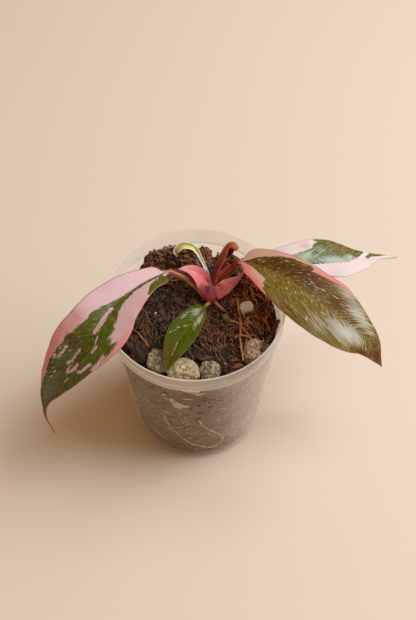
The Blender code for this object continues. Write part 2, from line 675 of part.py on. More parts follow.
def build_roots():
    """The roots: a hub under the crown, and cords from it out to the wall and along it."""
    mesh = bmesh.new()
    bmesh.ops.create_icosphere(mesh, subdivisions=2, radius=ROOT_HUB_RADIUS * MM,
                               matrix=Matrix.Translation(Vector(ROOT_HUB) * MM))
    roots = new_object("roots", mesh, ROOT)
    hub = Vector(ROOT_HUB)
    for index, places in enumerate(WALL_ROOTS):
        wall = [wall_point(*place) for place in places]
        first = Vector(wall[0])
        bend = hub.lerp(first, 0.55) + Vector((0, 0, -7))
        points = spline([hub, hub.lerp(bend, 0.4), bend, *wall], 10 + len(wall))
        cord = tube(f"root_{index}", [inside(point) for point in points], ROOT_RADIUS, ROOT, taper=0.75)
        boolean(roots, cord, "UNION")
    keep_largest(roots)
    return roots


def main():
    """Builds every piece, from the pot inwards, and cuts each clear of what it meets."""
    clear_scene()
    build_pot()
    crown = build_crown()
    roots = build_roots()

    grown = [crown]
    new_leaf = build_new_leaf()
    carve(new_leaf, grown)
    grown.append(new_leaf)
    for plan in LEAVES + SHEATHS:
        leaf = build_leaf(plan)
        carve(leaf, grown)
        grown.append(leaf)
    aerial = tube("aerial_root", spline(AERIAL_ROOT, 12), AERIAL_RADIUS, CROWN_RED, taper=0.7)
    carve(aerial, grown)
    grown.append(aerial)

    loose = []
    for lumps, finish in ((STONES, PUMICE), (CHUNKS, BARK)):
        for lump in lumps:
            piece = build_lump(lump, SEED if lump.name == "seed_bit" else finish)
            carve(piece, [other for other in loose if boxes_meet(piece, other)])
            loose.append(piece)
    for name, points, radius in STRAWS:
        piece = tube(name, spline(points, 8), radius, STRAW)
        carve(piece, [other for other in loose if boxes_meet(piece, other)])
        loose.append(piece)

    substrate = build_substrate()
    carve(substrate, [crown, aerial])
    carve(substrate, [roots], ROOT_GAP)
    carve(substrate, loose)


main()
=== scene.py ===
"""Looks for a potted philodendron: fine leaves, crown, potting mix, stones and clear pot round the
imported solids, with their finishes, a pale floor, soft light and the camera.

Lengths are millimetres until a vertex is placed, as in the part's source.
"""

import logging
import math
import random
from collections.abc import Callable, Iterable, Sequence
from dataclasses import dataclass, field
from enum import Enum

import bmesh
import bpy
import numpy as np
from mathutils import Euler, Matrix, Vector, noise

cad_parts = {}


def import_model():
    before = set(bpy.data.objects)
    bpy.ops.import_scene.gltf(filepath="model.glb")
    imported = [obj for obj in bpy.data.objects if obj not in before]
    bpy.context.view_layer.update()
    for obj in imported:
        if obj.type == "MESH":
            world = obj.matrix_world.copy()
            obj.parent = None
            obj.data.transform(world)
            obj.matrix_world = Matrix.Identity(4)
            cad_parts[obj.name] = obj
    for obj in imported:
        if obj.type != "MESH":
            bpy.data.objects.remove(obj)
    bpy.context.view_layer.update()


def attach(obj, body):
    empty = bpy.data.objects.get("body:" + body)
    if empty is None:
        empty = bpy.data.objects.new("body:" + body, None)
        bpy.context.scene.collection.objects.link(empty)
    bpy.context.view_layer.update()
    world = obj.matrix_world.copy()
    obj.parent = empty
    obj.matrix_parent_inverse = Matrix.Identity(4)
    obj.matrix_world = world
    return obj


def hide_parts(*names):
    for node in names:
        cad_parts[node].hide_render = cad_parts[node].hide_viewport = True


log = logging.getLogger("philodendron")

# Short names for the types in the hints
Tree = bpy.types.NodeTree
Socket = bpy.types.NodeSocket
Inputs = dict[int | str, Socket | str | float | tuple]
Mesh = bmesh.types.BMesh
Material = bpy.types.Material

MM = 0.001
ROOT = "root"
SEED = 20
UP = Vector((0, 0, 1))

# How close two points are to be one: of a turned profile, of a skin's rings, of a cord
SAME_POINT = 0.001 * MM
SAME_RING_POINT = 0.00001 * MM
SAME_CORD_POINT = 0.002 * MM

# Places along a blade where its half widths are given, and where a stalk has become a blade
STATIONS = (0, 0.04, 0.12, 0.25, 0.4, 0.55, 0.7, 0.85, 1)
STALK_END = 0.05

# Steps between two knots of a curve before its points are spaced out evenly
FINE_STEPS = 16

# The eased ramp of a MapRange node
SMOOTH = "SMOOTHSTEP"


def linear(code: str) -> tuple[float, float, float, float]:
    """Turns an sRGB hex colour into linear light.

    Args:
        code: Colour such as "#aabbcc".

    Returns:
        Red, green, blue and full opacity, in linear light.
    """
    parts = [int(code[i:i + 2], 16) / 255 for i in (1, 3, 5)]
    return (*(p / 12.92 if p <= 0.04045 else ((p + 0.055) / 1.055) ** 2.4 for p in parts), 1.0)


def fill(tree: Tree, made: bpy.types.Node, inputs: Inputs) -> None:
    """Links a node's sockets or gives them their values.

    Args:
        tree: Node tree that the node stands in.
        made: The node.
        inputs: Socket name or number to a value, a hex colour or another node's output.
    """
    for socket, value in inputs.items():
        if isinstance(value, Socket):
            tree.links.new(value, made.inputs[socket])
        else:
            made.inputs[socket].default_value = linear(value) if isinstance(value, str) else value


def node(tree: Tree, kind: str, out: int | str, inputs: Inputs | None = None, **settings: object) -> Socket:
    """Adds a shader node, sets its options and fills or links its sockets.

    Args:
        tree: Node tree to add to.
        kind: Node type, without its leading "ShaderNode".
        out: Name or number of the output that is wanted.
        inputs: Socket name or number to a value, a hex colour or another node's output.
        **settings: Options of the node.

    Returns:
        The wanted output socket.
    """
    made = tree.nodes.new("ShaderNode" + kind)
    for option, value in settings.items():
        setattr(made, option, value)
    fill(tree, made, inputs or {})
    return made.outputs[out]


def layered(tree: Tree, colour: Socket | str, *coats: tuple) -> Socket:
    """Lays coats of colour over one another, each where a value is high or low enough.

    Args:
        tree: Node tree to add to.
        colour: The lowest coat, a hex colour or an output.
        *coats: For each coat, its value, where that starts and where it is full, the coat's strength
            and colour and, where it isn't an even one, its kind of ramp.

    Returns:
        The output with the last coat.
    """
    for value, start, full, most, tone, *ramp in coats:
        share = node(tree, "MapRange", 0, {0: value, 1: start, 2: full, 4: most},
                     interpolation_type=ramp[0] if ramp else "LINEAR")
        colour = node(tree, "Mix", 2, {0: share, 6: colour, 7: tone}, data_type="RGBA")
    return colour


def object_place(tree: Tree, stretch: tuple[float, float, float] = (1, 1, 1)) -> Socket:
    """Object coordinates in millimetres, multiplied part by part.

    Args:
        tree: Node tree to add to.
        stretch: What the three parts are multiplied by.

    Returns:
        The output with the place.
    """
    place = node(tree, "TexCoord", "Object")
    return node(tree, "VectorMath", 0, {0: place, 1: tuple(part / MM for part in stretch)},
                operation="MULTIPLY")


def round_axis(radius: float, turn: float, height: float) -> Vector:
    """A point at a radius, degrees round the pot's axis and height."""
    return Vector((radius * math.cos(math.radians(turn)), radius * math.sin(math.radians(turn)), height))


def clamped(value: float) -> float:
    """A value held between 0 and 1."""
    return min(1.0, max(0.0, value))


def aside(way: Vector) -> tuple[Vector, Vector]:
    """The directions across a way, to its right, and above it."""
    across = way.cross(UP).normalized()
    return across, across.cross(way)


def spline(points: Iterable, count: int) -> list[Vector]:
    """Evenly spaced points along a smooth curve through the given ones.

    Args:
        points: Points that the curve passes, in millimetres.
        count: How many points are wanted.

    Returns:
        The points.
    """
    knots = [Vector(point) for point in points]
    knots = [2 * knots[0] - knots[1], *knots, 2 * knots[-1] - knots[-2]]
    fine = []
    for a, b, c, d in zip(knots, knots[1:], knots[2:], knots[3:]):
        for step in range(FINE_STEPS):
            u = step / FINE_STEPS
            fine.append(0.5 * (2 * b + (c - a) * u + (2 * a - 5 * b + 4 * c - d) * u * u
                               + (3 * b - a - 3 * c + d) * u ** 3))
    fine.append(knots[-2])
    reach = [0.0]
    for near, far in zip(fine, fine[1:]):
        reach.append(reach[-1] + (far - near).length)
    even = []
    place = 0
    for step in range(count):
        target = reach[-1] * step / (count - 1)
        while place < len(fine) - 2 and reach[place + 1] < target:
            place += 1
        part = (target - reach[place]) / (reach[place + 1] - reach[place])
        even.append(fine[place].lerp(fine[place + 1], clamped(part)))
    return even


def eased(values: Sequence[float], place: float) -> float:
    """A value among even stations, with eased steps between them.

    Args:
        values: The value at each station.
        place: From 0 at the first station to 1 at the last.

    Returns:
        The value there.
    """
    spot = clamped(place) * (len(values) - 1)
    low = max(0, min(int(spot), len(values) - 2))
    part = 0.5 - 0.5 * math.cos(math.pi * (spot - low))
    return values[low] * (1 - part) + values[min(low + 1, len(values) - 1)] * part


def tangents(points: list[Vector]) -> list[Vector]:
    """The unit direction of a run of points at each of them."""
    last = len(points) - 1
    return [(points[min(i + 1, last)] - points[max(i - 1, 0)]).normalized() for i in range(last + 1)]


def along(values: Sequence[float], place: float) -> float:
    """A value on a smooth curve through the values at STATIONS.

    Args:
        values: The value at each station.
        place: From 0 at the first station to 1 at the last.

    Returns:
        The value there.
    """
    last = len(STATIONS) - 1

    def slope(index: int) -> float:
        """Slope of the curve at a station."""
        low, high = max(index - 1, 0), min(index + 1, last)
        return (values[high] - values[low]) / (STATIONS[high] - STATIONS[low])

    index = max(i for i in range(last) if STATIONS[i] <= place)
    span = STATIONS[index + 1] - STATIONS[index]
    u = (place - STATIONS[index]) / span
    return ((1 + 2 * u) * (1 - u) ** 2 * values[index] + u * (1 - u) ** 2 * span * slope(index)
            + u * u * (3 - 2 * u) * values[index + 1] + u * u * (u - 1) * span * slope(index + 1))


def new_object(name: str, mesh: Mesh, material: Material, smooth: bool = True) -> bpy.types.Object:
    """Makes a scene object from a bmesh.

    Args:
        name: Object name.
        mesh: The bmesh, which is freed.
        material: Its material.
        smooth: Whether it is shaded smooth.

    Returns:
        The object.
    """
    bmesh.ops.recalc_face_normals(mesh, faces=mesh.faces)
    data = bpy.data.meshes.new(name)
    mesh.to_mesh(data)
    mesh.free()
    if smooth:
        data.shade_smooth()
    data.materials.append(material)
    item = bpy.data.objects.new(name, data)
    bpy.context.collection.objects.link(item)
    return item


def placed(piece: bpy.types.Object, slot: str, *nodes: str) -> None:
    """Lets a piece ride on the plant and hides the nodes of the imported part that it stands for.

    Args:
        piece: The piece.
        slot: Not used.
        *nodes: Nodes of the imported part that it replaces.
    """
    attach(piece, ROOT)
    if nodes:
        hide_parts(*nodes)
    log.info("%s: %d faces", piece.name, len(piece.data.polygons))


def turned(profile: Iterable[tuple[float, float]], steps: int) -> Mesh:
    """A profile turned a full round about the upright axis.

    Args:
        profile: Radius and height of its points, in millimetres.
        steps: Steps round.

    Returns:
        The bmesh.
    """
    mesh = bmesh.new()
    points = [mesh.verts.new(Vector((x, 0, z)) * MM) for x, z in profile]
    line = [mesh.edges.new(pair) for pair in zip(points, points[1:])]
    bmesh.ops.spin(mesh, geom=points + line, cent=(0, 0, 0), axis=UP, angle=math.tau, steps=steps,
                   use_merge=True)
    bmesh.ops.remove_doubles(mesh, verts=mesh.verts, dist=SAME_POINT)
    return mesh


def fused(pieces: Iterable[tuple], faces: int, swell: float, knobs: float) -> Mesh:
    """Many small balls, each pushed out of shape, stretched and turned, as one bmesh.

    Args:
        pieces: For each, its place, three proportions, size, turn and the start of its grain.
        faces: Subdivisions of a ball.
        swell: How far the balls are pushed in and out, as a share of their size.
        knobs: How closely the knobs stand on a ball.

    Returns:
        The bmesh, whose "grain" is the place within each piece, in millimetres.
    """
    ball = bmesh.new()
    bmesh.ops.create_icosphere(ball, subdivisions=faces, radius=1.0)
    grain = ball.verts.layers.float_vector.new("grain")
    corners = [vertex.co.copy() for vertex in ball.verts]
    piece = bpy.data.meshes.new("piece")
    whole = bmesh.new()
    for spot, stretch, size, turn, own in pieces:
        for vertex, corner in zip(ball.verts, corners):
            place = corner * (1 + swell * noise.noise(corner * knobs + own)) * Vector(stretch) * size
            vertex[grain] = place + own
            place.rotate(turn)
            vertex.co = (place + spot) * MM
        ball.to_mesh(piece)
        whole.from_mesh(piece)
    ball.free()
    bpy.data.meshes.remove(piece)
    return whole


def ring_skin(name: str, rings: list, layers: dict[str, np.ndarray],
              material: Material) -> bpy.types.Object:
    """A closed skin through rings of points, capped at both ends, with values at its points.

    Args:
        name: Object name.
        rings: Rings of points in millimetres, all of one count.
        layers: Attribute name to its values, ring by ring; rows of three make a vector.
        material: Its material.

    Returns:
        The object.
    """
    around = len(rings[0])
    mesh = bmesh.new()
    bmesh.ops.create_grid(mesh, x_segments=around, y_segments=len(rings) - 1, size=1.0)
    mesh.verts.ensure_lookup_table()
    kinds = mesh.verts.layers
    made = {key: (kinds.float_vector if values.ndim > 1 else kinds.float).new(key)
            for key, values in layers.items()}
    for index, vertex in enumerate(mesh.verts):
        row, column = divmod(index, around + 1)
        vertex.co = Vector(rings[row][column % around]) * MM
        spot = row * around + column % around
        for key, layer in made.items():
            value = layers[key][spot]
            vertex[layer] = Vector(value) if layers[key].ndim > 1 else float(value)
    bmesh.ops.remove_doubles(mesh, verts=mesh.verts, dist=SAME_RING_POINT)
    ends = [edge for edge in mesh.edges if edge.is_boundary]
    bmesh.ops.holes_fill(mesh, edges=ends, sides=0)
    return new_object(name, mesh, material)


def cords(name: str, runs: list, material: Material, sides: int = 0,
          joined: Mesh | None = None) -> bpy.types.Object:
    """Round cords as one mesh: a curve with a bevel and filled caps, made a mesh.

    Args:
        name: Object name.
        runs: For each cord, its points in millimetres and the radius at each.
        material: Its material.
        sides: Bevel resolution, 0 for four sides.
        joined: A bmesh that the cords are added to, or None.

    Returns:
        The object.
    """
    curve = bpy.data.curves.new(name, "CURVE")
    curve.dimensions = "3D"
    curve.bevel_depth = MM
    curve.bevel_resolution = sides
    curve.use_fill_caps = True
    for points, radii in runs:
        line = curve.splines.new("POLY")
        line.points.add(len(points) - 1)
        for slot, point, radius in zip(line.points, points, radii):
            slot.co = (*(point * MM), 1.0)
            slot.radius = radius
    guide = bpy.data.objects.new(name, curve)
    bpy.context.collection.objects.link(guide)
    bpy.context.view_layer.update()
    data = bpy.data.meshes.new_from_object(guide.evaluated_get(bpy.context.evaluated_depsgraph_get()))
    bpy.data.objects.remove(guide, do_unlink=True)
    mesh = joined or bmesh.new()
    mesh.from_mesh(data)
    bmesh.ops.remove_doubles(mesh, verts=mesh.verts, dist=SAME_CORD_POINT)
    return new_object(name, mesh, material)


@dataclass(frozen=True)
class Finish:
    """The finish of a material, named for what the real one is."""

    name: str

    def sockets(self, tree: Tree) -> Inputs:
        """What the Principled shader's sockets take, by their names."""
        raise NotImplementedError

    def dress(self) -> Material:
        """Builds the material.

        Returns:
            The material.
        """
        material = bpy.data.materials.new(self.name)
        material.use_nodes = True
        tree = material.node_tree
        fill(tree, tree.nodes["Principled BSDF"], self.sockets(tree))
        return material


@dataclass(frozen=True)
class BoardFinish(Finish):
    """Matt painted board, with a faint unevenness of tone."""

    name: str = "matt_painted_board"
    colour: str = "#ebd3ba"
    shade: str = "#e9d1b8"

    def sockets(self, tree: Tree) -> Inputs:
        """A slow change of tone and the fine grain of a rolled coat of paint.

        Args:
            tree: Node tree to build it in.

        Returns:
            Socket names to their values.
        """
        place = object_place(tree)
        tone = node(tree, "TexNoise", "Fac", {"Vector": place, "Scale": 1 / 160, "Detail": 2})
        grain = node(tree, "TexNoise", "Fac", {"Vector": place, "Scale": 1 / 1.2, "Detail": 3})
        return {
            "Base Color": layered(tree, self.colour, (tone, 0, 1, 1, self.shade)),
            "Normal": node(tree, "Bump", 0, {"Height": grain, "Distance": 0.03 * MM, "Strength": 0.4}),
            "Roughness": 0.9,
            "Specular IOR Level": 0.15,
        }


@dataclass(frozen=True)
class PlasticFinish(Finish):
    """Injection-moulded clear polypropylene: hazy, and denser where the eye looks along the wall. Its
    haze carries painted light: whiter on the right side and at the front of the band, with painted
    highlights at lip and band foot."""

    name: str = "moulded_clear_polypropylene"
    colour: str = "#f4e6d6"
    # How much of the wall's white covers what is behind: face on, along the wall and at each mark
    face: float = 0.035
    grazing: float = 0.35
    band: float = 0.16
    under_band: float = 0.035
    # Painted highlights: white lines along the band's foot, on the outside alone, and along the lip
    foot_line: float = 0.45
    lip_line: float = 0.11
    # Painted light: how much whiter the haze is on the right side, where the lamps light it
    painted_side_light: float = 0.45
    # Heights of the band's foot and the lip, and the radius outside which the foot line shows
    band_foot: float = 102.5
    lip: float = 114.3
    outer: float = 48.8

    def sockets(self, tree: Tree) -> Inputs:
        """Nearly clear where the eye looks through it, whiter at the band, with painted light at lip, foot
        line and right side.

        Args:
            tree: Node tree to build it in.

        Returns:
            Socket names to their values.
        """
        place = object_place(tree)
        haze = node(tree, "TexNoise", "Fac", {"Vector": place, "Scale": 1 / 16, "Detail": 3})
        facing = node(tree, "LayerWeight", "Facing", {"Blend": 0.5})
        steep = node(tree, "Math", 0, {0: facing, 1: 6.0}, operation="POWER")
        cover = node(tree, "MapRange", 0, {0: steep, 3: self.face, 4: self.grazing})
        height = node(tree, "SeparateXYZ", 2, {0: place})
        foot = self.band_foot
        lip, near, low, mist = (
            node(tree, "MapRange", 0, {0: value, 1: start, 2: end, 3: least, 4: most})
            for value, start, end, least, most in (
                (height, self.lip, self.lip + 0.4, 0, self.lip_line),
                (height, foot - 12, foot - 1, 0, self.under_band),
                (height, foot + 1, foot - 4, 0.4, 1), (haze, 0.35, 0.75, -0.015, 0.03)))
        band = node(tree, "MapRange", 0, {0: height, 1: foot - 0.8, 2: foot, 4: self.band},
                    interpolation_type=SMOOTH)
        band = node(tree, "Math", 0, {0: band, 1: near}, operation="ADD")

        # The band's haze is whiter to the front, as painted light; its foot line, a painted highlight, shows
        # on the outside alone; and painted light from the lamps whitens the right side
        # Painted light: the band's haze grows whiter towards the front and left, standing in for how the
        # light falls on the band
        front = node(tree, "VectorMath", 1, {0: place, 1: (0.5, 0.85, 0)}, operation="DOT_PRODUCT")
        front = node(tree, "MapRange", 0, {0: front, 1: -20.0, 2: -43.0, 3: 0.3, 4: 2.3})
        flat = node(tree, "VectorMath", 0, {0: place, 1: (1, 1, 0)}, operation="MULTIPLY")
        flat = node(tree, "VectorMath", 1, {0: flat}, operation="LENGTH")
        flat = node(tree, "Math", 0, {0: flat, 1: self.outer}, operation="GREATER_THAN")
        # Painted highlight: the line along the band's foot, on the outside alone
        step = node(tree, "Math", 0, {0: height, 1: foot + 0.15, 2: 0.4}, operation="COMPARE")
        step = node(tree, "Math", 0, {0: step, 1: flat}, operation="MULTIPLY")
        # Painted light: the haze grows whiter towards the right side, where the lamps stand
        side_light = node(tree, "VectorMath", 1, {0: place, 1: (0.8, -0.3, 0)}, operation="DOT_PRODUCT")
        side_light = node(tree, "Math", 0, {0: haze, 1: 5.0, 2: side_light}, operation="MULTIPLY_ADD")
        side_light = node(tree, "MapRange", 0, {0: side_light, 1: 18.0, 2: 50.0, 4: self.painted_side_light},
                      interpolation_type=SMOOTH)
        for value, share in ((mist, 1), (band, front), (step, self.foot_line), (lip, 1), (side_light, low)):
            cover = node(tree, "Math", 0, {0: value, 1: share, 2: cover}, operation="MULTIPLY_ADD",
                         use_clamp=True)
        flow = node(tree, "TexNoise", "Fac", {"Vector": object_place(tree, (1, 1, 0.06)),
                                              "Scale": 1 / 0.8, "Detail": 3})
        return {
            "Base Color": self.colour,
            "Alpha": cover,
            "Roughness": node(tree, "MapRange", 0, {0: haze, 1: 0.3, 2: 0.8, 3: 0.2, 4: 0.32}),
            "Normal": node(tree, "Bump", 0, {"Height": flow, "Distance": 0.02 * MM, "Strength": 0.25}),
            "IOR": 1.49,
        }


@dataclass(frozen=True)
class PeatFinish(Finish):
    """Damp peat and composted bark: near black, fibrous, with red-brown and tan scraps. Seen through
    the wall it is a greyer brown with flecks that lie along one slant, with painted shade darker towards its
    foot and left side."""

    name: str = "damp_peat_and_bark_fines"
    dark: str = "#21150e"
    brown: str = "#5e3c22"
    rust: str = "#783e22"
    tan: str = "#a47a50"
    # Where the mix is pressed on the wall, with grains of grit in it
    wall: str = "#7c6a58"
    wall_dark: str = "#150d08"
    wall_pale: str = "#a48e76"
    wall_grit: str = "#d8c8b0"

    def sockets(self, tree: Tree) -> Inputs:
        """The loose top with its scraps, and the pressed face that shows through the wall.

        Args:
            tree: Node tree to build it in.

        Returns:
            Socket names to their values.
        """
        place = object_place(tree)
        slant = node(tree, "VectorRotate", 0, {"Vector": place, "Angle": 0.45}, rotation_type="Y_AXIS")
        slant = node(tree, "VectorMath", 0, {0: slant, 1: (1 / 2.8, 1 / 2.8, 1 / 2.2)},
                     operation="MULTIPLY")
        coarse, fine, wisp, cloud, fleck = (
            node(tree, "TexNoise", "Fac", {"Vector": way, "Scale": 1 / size, "Detail": detail,
                                           "Roughness": rough, "Distortion": bent})
            for way, size, detail, rough, bent in (
                (place, 5, 6, 0.65, 0.6), (place, 0.9, 5, 0.7, 0), (place, 2.2, 6, 0.6, 2.5),
                (place, 11, 4, 0.5, 0), (slant, 1, 4, 0.6, 0.3)))
        group = node(tree, "MapRange", 0, {0: coarse, 1: 0.3, 2: 0.7, 3: -0.1, 4: 0.1})
        fleck = node(tree, "Math", 0, {0: fleck, 1: group}, operation="ADD")
        crumbs = node(tree, "TexVoronoi", "Distance", {"Vector": place, "Scale": 1 / 5.5})
        # Painted shade: the wall face darkens towards its foot and its left side, away from the lamps
        shade_low_left = node(tree, "VectorMath", 1, {0: place, 1: (0.8, 0, 1)}, operation="DOT_PRODUCT")
        # Painted shade: broad dark patches of the cloud noise on the top stand for the shade in its hollows
        top = layered(tree, self.dark, (fine, 0.35, 0.7, 1, self.brown, SMOOTH),
                      (coarse, 0.5, 0.66, 0.7, self.rust), (cloud, 0.5, 0.42, 0.75, self.dark),
                      (wisp, 0.62, 0.68, 0.6, self.tan))
        side = layered(tree, self.wall, (cloud, 0.4, 0.72, 0.55, self.wall_pale),
                       (fleck, 0.59, 0.61, 1, self.wall_dark, SMOOTH),
                       (crumbs, 0.17, 0.11, 0.9, self.wall_grit), (shade_low_left, 28, 5, 0.32, self.wall_dark))
        wall = node(tree, "Attribute", "Fac", attribute_name="wall")
        rough = node(tree, "Bump", 0, {"Height": coarse, "Distance": 1.2 * MM, "Strength": 0.8})
        for height, depth in ((wisp, 0.7), (fine, 0.5)):
            rough = node(tree, "Bump", 0, {"Height": height, "Distance": depth * MM, "Normal": rough})
        return {"Base Color": layered(tree, top, (wall, 0, 1, 1, side)), "Roughness": 0.88,
                "Specular IOR Level": 0.3, "Normal": rough}


@dataclass(frozen=True)
class BarkFinish(Finish):
    """Composted pine bark: layered plates with dark cracks along the grain and warm broken edges."""

    dark: str = "#1d100a"
    mid: str = "#5a3019"
    light: str = "#a06a3e"
    warmth: float = 0.45
    layer: float = 0.9

    def sockets(self, tree: Tree) -> Inputs:
        """Plates along the grain, with crumbled spots and paler patches.

        Args:
            tree: Node tree to build it in.

        Returns:
            Socket names to their values.
        """
        grain = node(tree, "Attribute", "Vector", attribute_name="grain")
        fibre = node(tree, "VectorMath", 0, {0: grain, 1: (1 / 7, 1 / self.layer, 1 / self.layer)},
                     operation="MULTIPLY")
        bands, crumb, patch = (
            node(tree, "TexNoise", "Fac", {"Vector": way, "Scale": 1 / size, "Detail": detail,
                                           "Roughness": rough, "Distortion": bent})
            for way, size, detail, rough, bent in (
                (fibre, 1, 6, 0.65, 0.4), (grain, 1.1, 5, 0.7, 0), (grain, 4.5, 3, 0.5, 0)))
        colour = layered(tree, self.dark, (bands, 0.4, 0.6, 1, self.mid, SMOOTH),
                         (bands, 0.55, 0.75, self.warmth, self.light), (crumb, 0.52, 0.36, 0.85, self.dark),
                         (patch, 0.55, 0.75, self.warmth * 0.7, self.light))
        relief = node(tree, "Bump", 0, {"Height": bands, "Distance": 0.9 * MM})
        relief = node(tree, "Bump", 0, {"Height": crumb, "Distance": 0.6 * MM, "Normal": relief})
        return {"Base Color": colour, "Roughness": 0.82, "Specular IOR Level": 0.3, "Normal": relief}


@dataclass(frozen=True)
class PumiceFinish(Finish):
    """Crushed pumice: pale porous grit stone with dark pits, grey grains and brown stain from the mix."""

    base: str
    light: str
    stain: str
    stained: float = 0.4
    green: float = 0.0
    moss: str = "#8a8a48"
    pit: str = "#4a3422"

    def sockets(self, tree: Tree) -> Inputs:
        """Grit and stain, with pits where the patches let them.

        Args:
            tree: Node tree to build it in.

        Returns:
            Socket names to their values.
        """
        place = node(tree, "Attribute", "Vector", attribute_name="grain")
        patch, grit = (
            node(tree, "TexNoise", "Fac", {"Vector": place, "Scale": 1 / size, "Detail": detail,
                                           "Roughness": rough})
            for size, detail, rough in ((4.2, 5, 0.65), (1.1, 6, 0.75)))
        holes = node(tree, "TexVoronoi", "Distance", {"Vector": place, "Scale": 1 / 1.6})
        sparse = node(tree, "MapRange", 0, {0: patch, 1: 0.35, 2: 0.6, 3: -0.1, 4: 0.13}, clamp=False)
        holes = node(tree, "Math", 0, {0: holes, 1: sparse}, operation="ADD")
        colour = layered(tree, self.base, (grit, 0.38, 0.6, 1, self.light, SMOOTH),
                         (patch, 0.5, 0.4, self.green, self.moss),
                         (patch, 0.47, 0.58, self.stained, self.stain), (holes, 0.3, 0.16, 0.75, self.pit))
        deep = node(tree, "MapRange", 0, {0: holes, 1: 0.1, 2: 0.34})
        relief = node(tree, "Bump", 0, {"Height": deep, "Distance": 0.5 * MM, "Strength": 0.9})
        relief = node(tree, "Bump", 0, {"Height": grit, "Distance": 0.35 * MM, "Normal": relief})
        return {"Base Color": colour, "Roughness": 0.85, "Specular IOR Level": 0.3, "Normal": relief}


@dataclass(frozen=True)
class StrawFinish(Finish):
    """Plant fibre, as of coir, straw, twigs and thin roots: satin, and darker along its cracks."""

    light: str
    dark: str
    spread: float = 9.0

    def sockets(self, tree: Tree) -> Inputs:
        """Slow changes of tone with fine scuffs.

        Args:
            tree: Node tree to build it in.

        Returns:
            Socket names to their values.
        """
        place = object_place(tree)
        tone = node(tree, "TexNoise", "Fac", {"Vector": place, "Scale": 1 / self.spread, "Detail": 3})
        scuff = node(tree, "TexNoise", "Fac", {"Vector": place, "Scale": 1 / 0.7, "Detail": 4})
        both = node(tree, "Math", 0, {0: tone, 1: scuff}, operation="ADD")
        return {
            "Base Color": layered(tree, self.light, (both, 0.8, 1.2, 1, self.dark, SMOOTH)),
            "Normal": node(tree, "Bump", 0, {"Height": scuff, "Distance": 0.25 * MM, "Strength": 0.8}),
            "Roughness": 0.62,
            "Specular IOR Level": 0.4,
        }


@dataclass(frozen=True)
class FleshFinish(Finish):
    """Living stem or sheath: smooth, waxy and streaked lengthwise, from its foot to its margin.

    The piece carries "spread", millimetres along and across it, "place", 0 at its foot and 1 at its tip,
    "rim", 1 at its margin, and "under", 1 on its inner side.
    """

    foot: str
    middle: str
    tip: str
    streak: str
    rim: str
    inner: str
    turning: tuple[float, float] = (0.1, 0.4)
    streaks: float = 0.6
    roughness: float = 0.36
    coat: float = 0.12
    rim_from: float = 0.3

    def sockets(self, tree: Tree) -> Inputs:
        """Colour from foot to tip, with lengthwise streaks, a paler margin and its own inner side.

        Args:
            tree: Node tree to build it in.

        Returns:
            Socket names to their values.
        """
        spread = node(tree, "Attribute", "Vector", attribute_name="spread")
        place, rim, under = (node(tree, "Attribute", "Fac", attribute_name=name)
                             for name in ("place", "rim", "under"))
        fibre = node(tree, "VectorMath", 0, {0: spread, 1: (1 / 9, 1 / 0.55, 1)}, operation="MULTIPLY")
        lines = node(tree, "TexNoise", "Fac", {"Vector": fibre, "Scale": 1.0, "Detail": 4,
                                               "Roughness": 0.6})
        blotch = node(tree, "TexNoise", "Fac", {"Vector": spread, "Scale": 1 / 3.5, "Detail": 3})
        wander = node(tree, "Math", 0, {0: place, 1: blotch}, operation="ADD")
        return {
            "Base Color": layered(
                tree, self.foot,
                (wander, self.turning[0] + 0.4, self.turning[1] + 0.5, 1, self.middle, SMOOTH),
                (wander, 1, 1.4, 1, self.tip, SMOOTH), (under, 0, 1, 0.9, self.inner),
                (lines, 0.5, 0.68, self.streaks, self.streak), (rim, self.rim_from, 1, 0.8, self.rim)),
            "Roughness": node(tree, "MapRange", 0, {0: lines, 1: 0.3, 2: 0.7, 3: self.roughness - 0.05,
                                                    4: self.roughness + 0.08}),
            "Normal": node(tree, "Bump", 0, {"Height": lines, "Distance": 0.25 * MM, "Strength": 0.7}),
            "Coat Weight": self.coat,
            "Coat Roughness": 0.2,
            "Subsurface Weight": 0.08,
            "Subsurface Radius": (0.004, 0.0015, 0.001),
        }


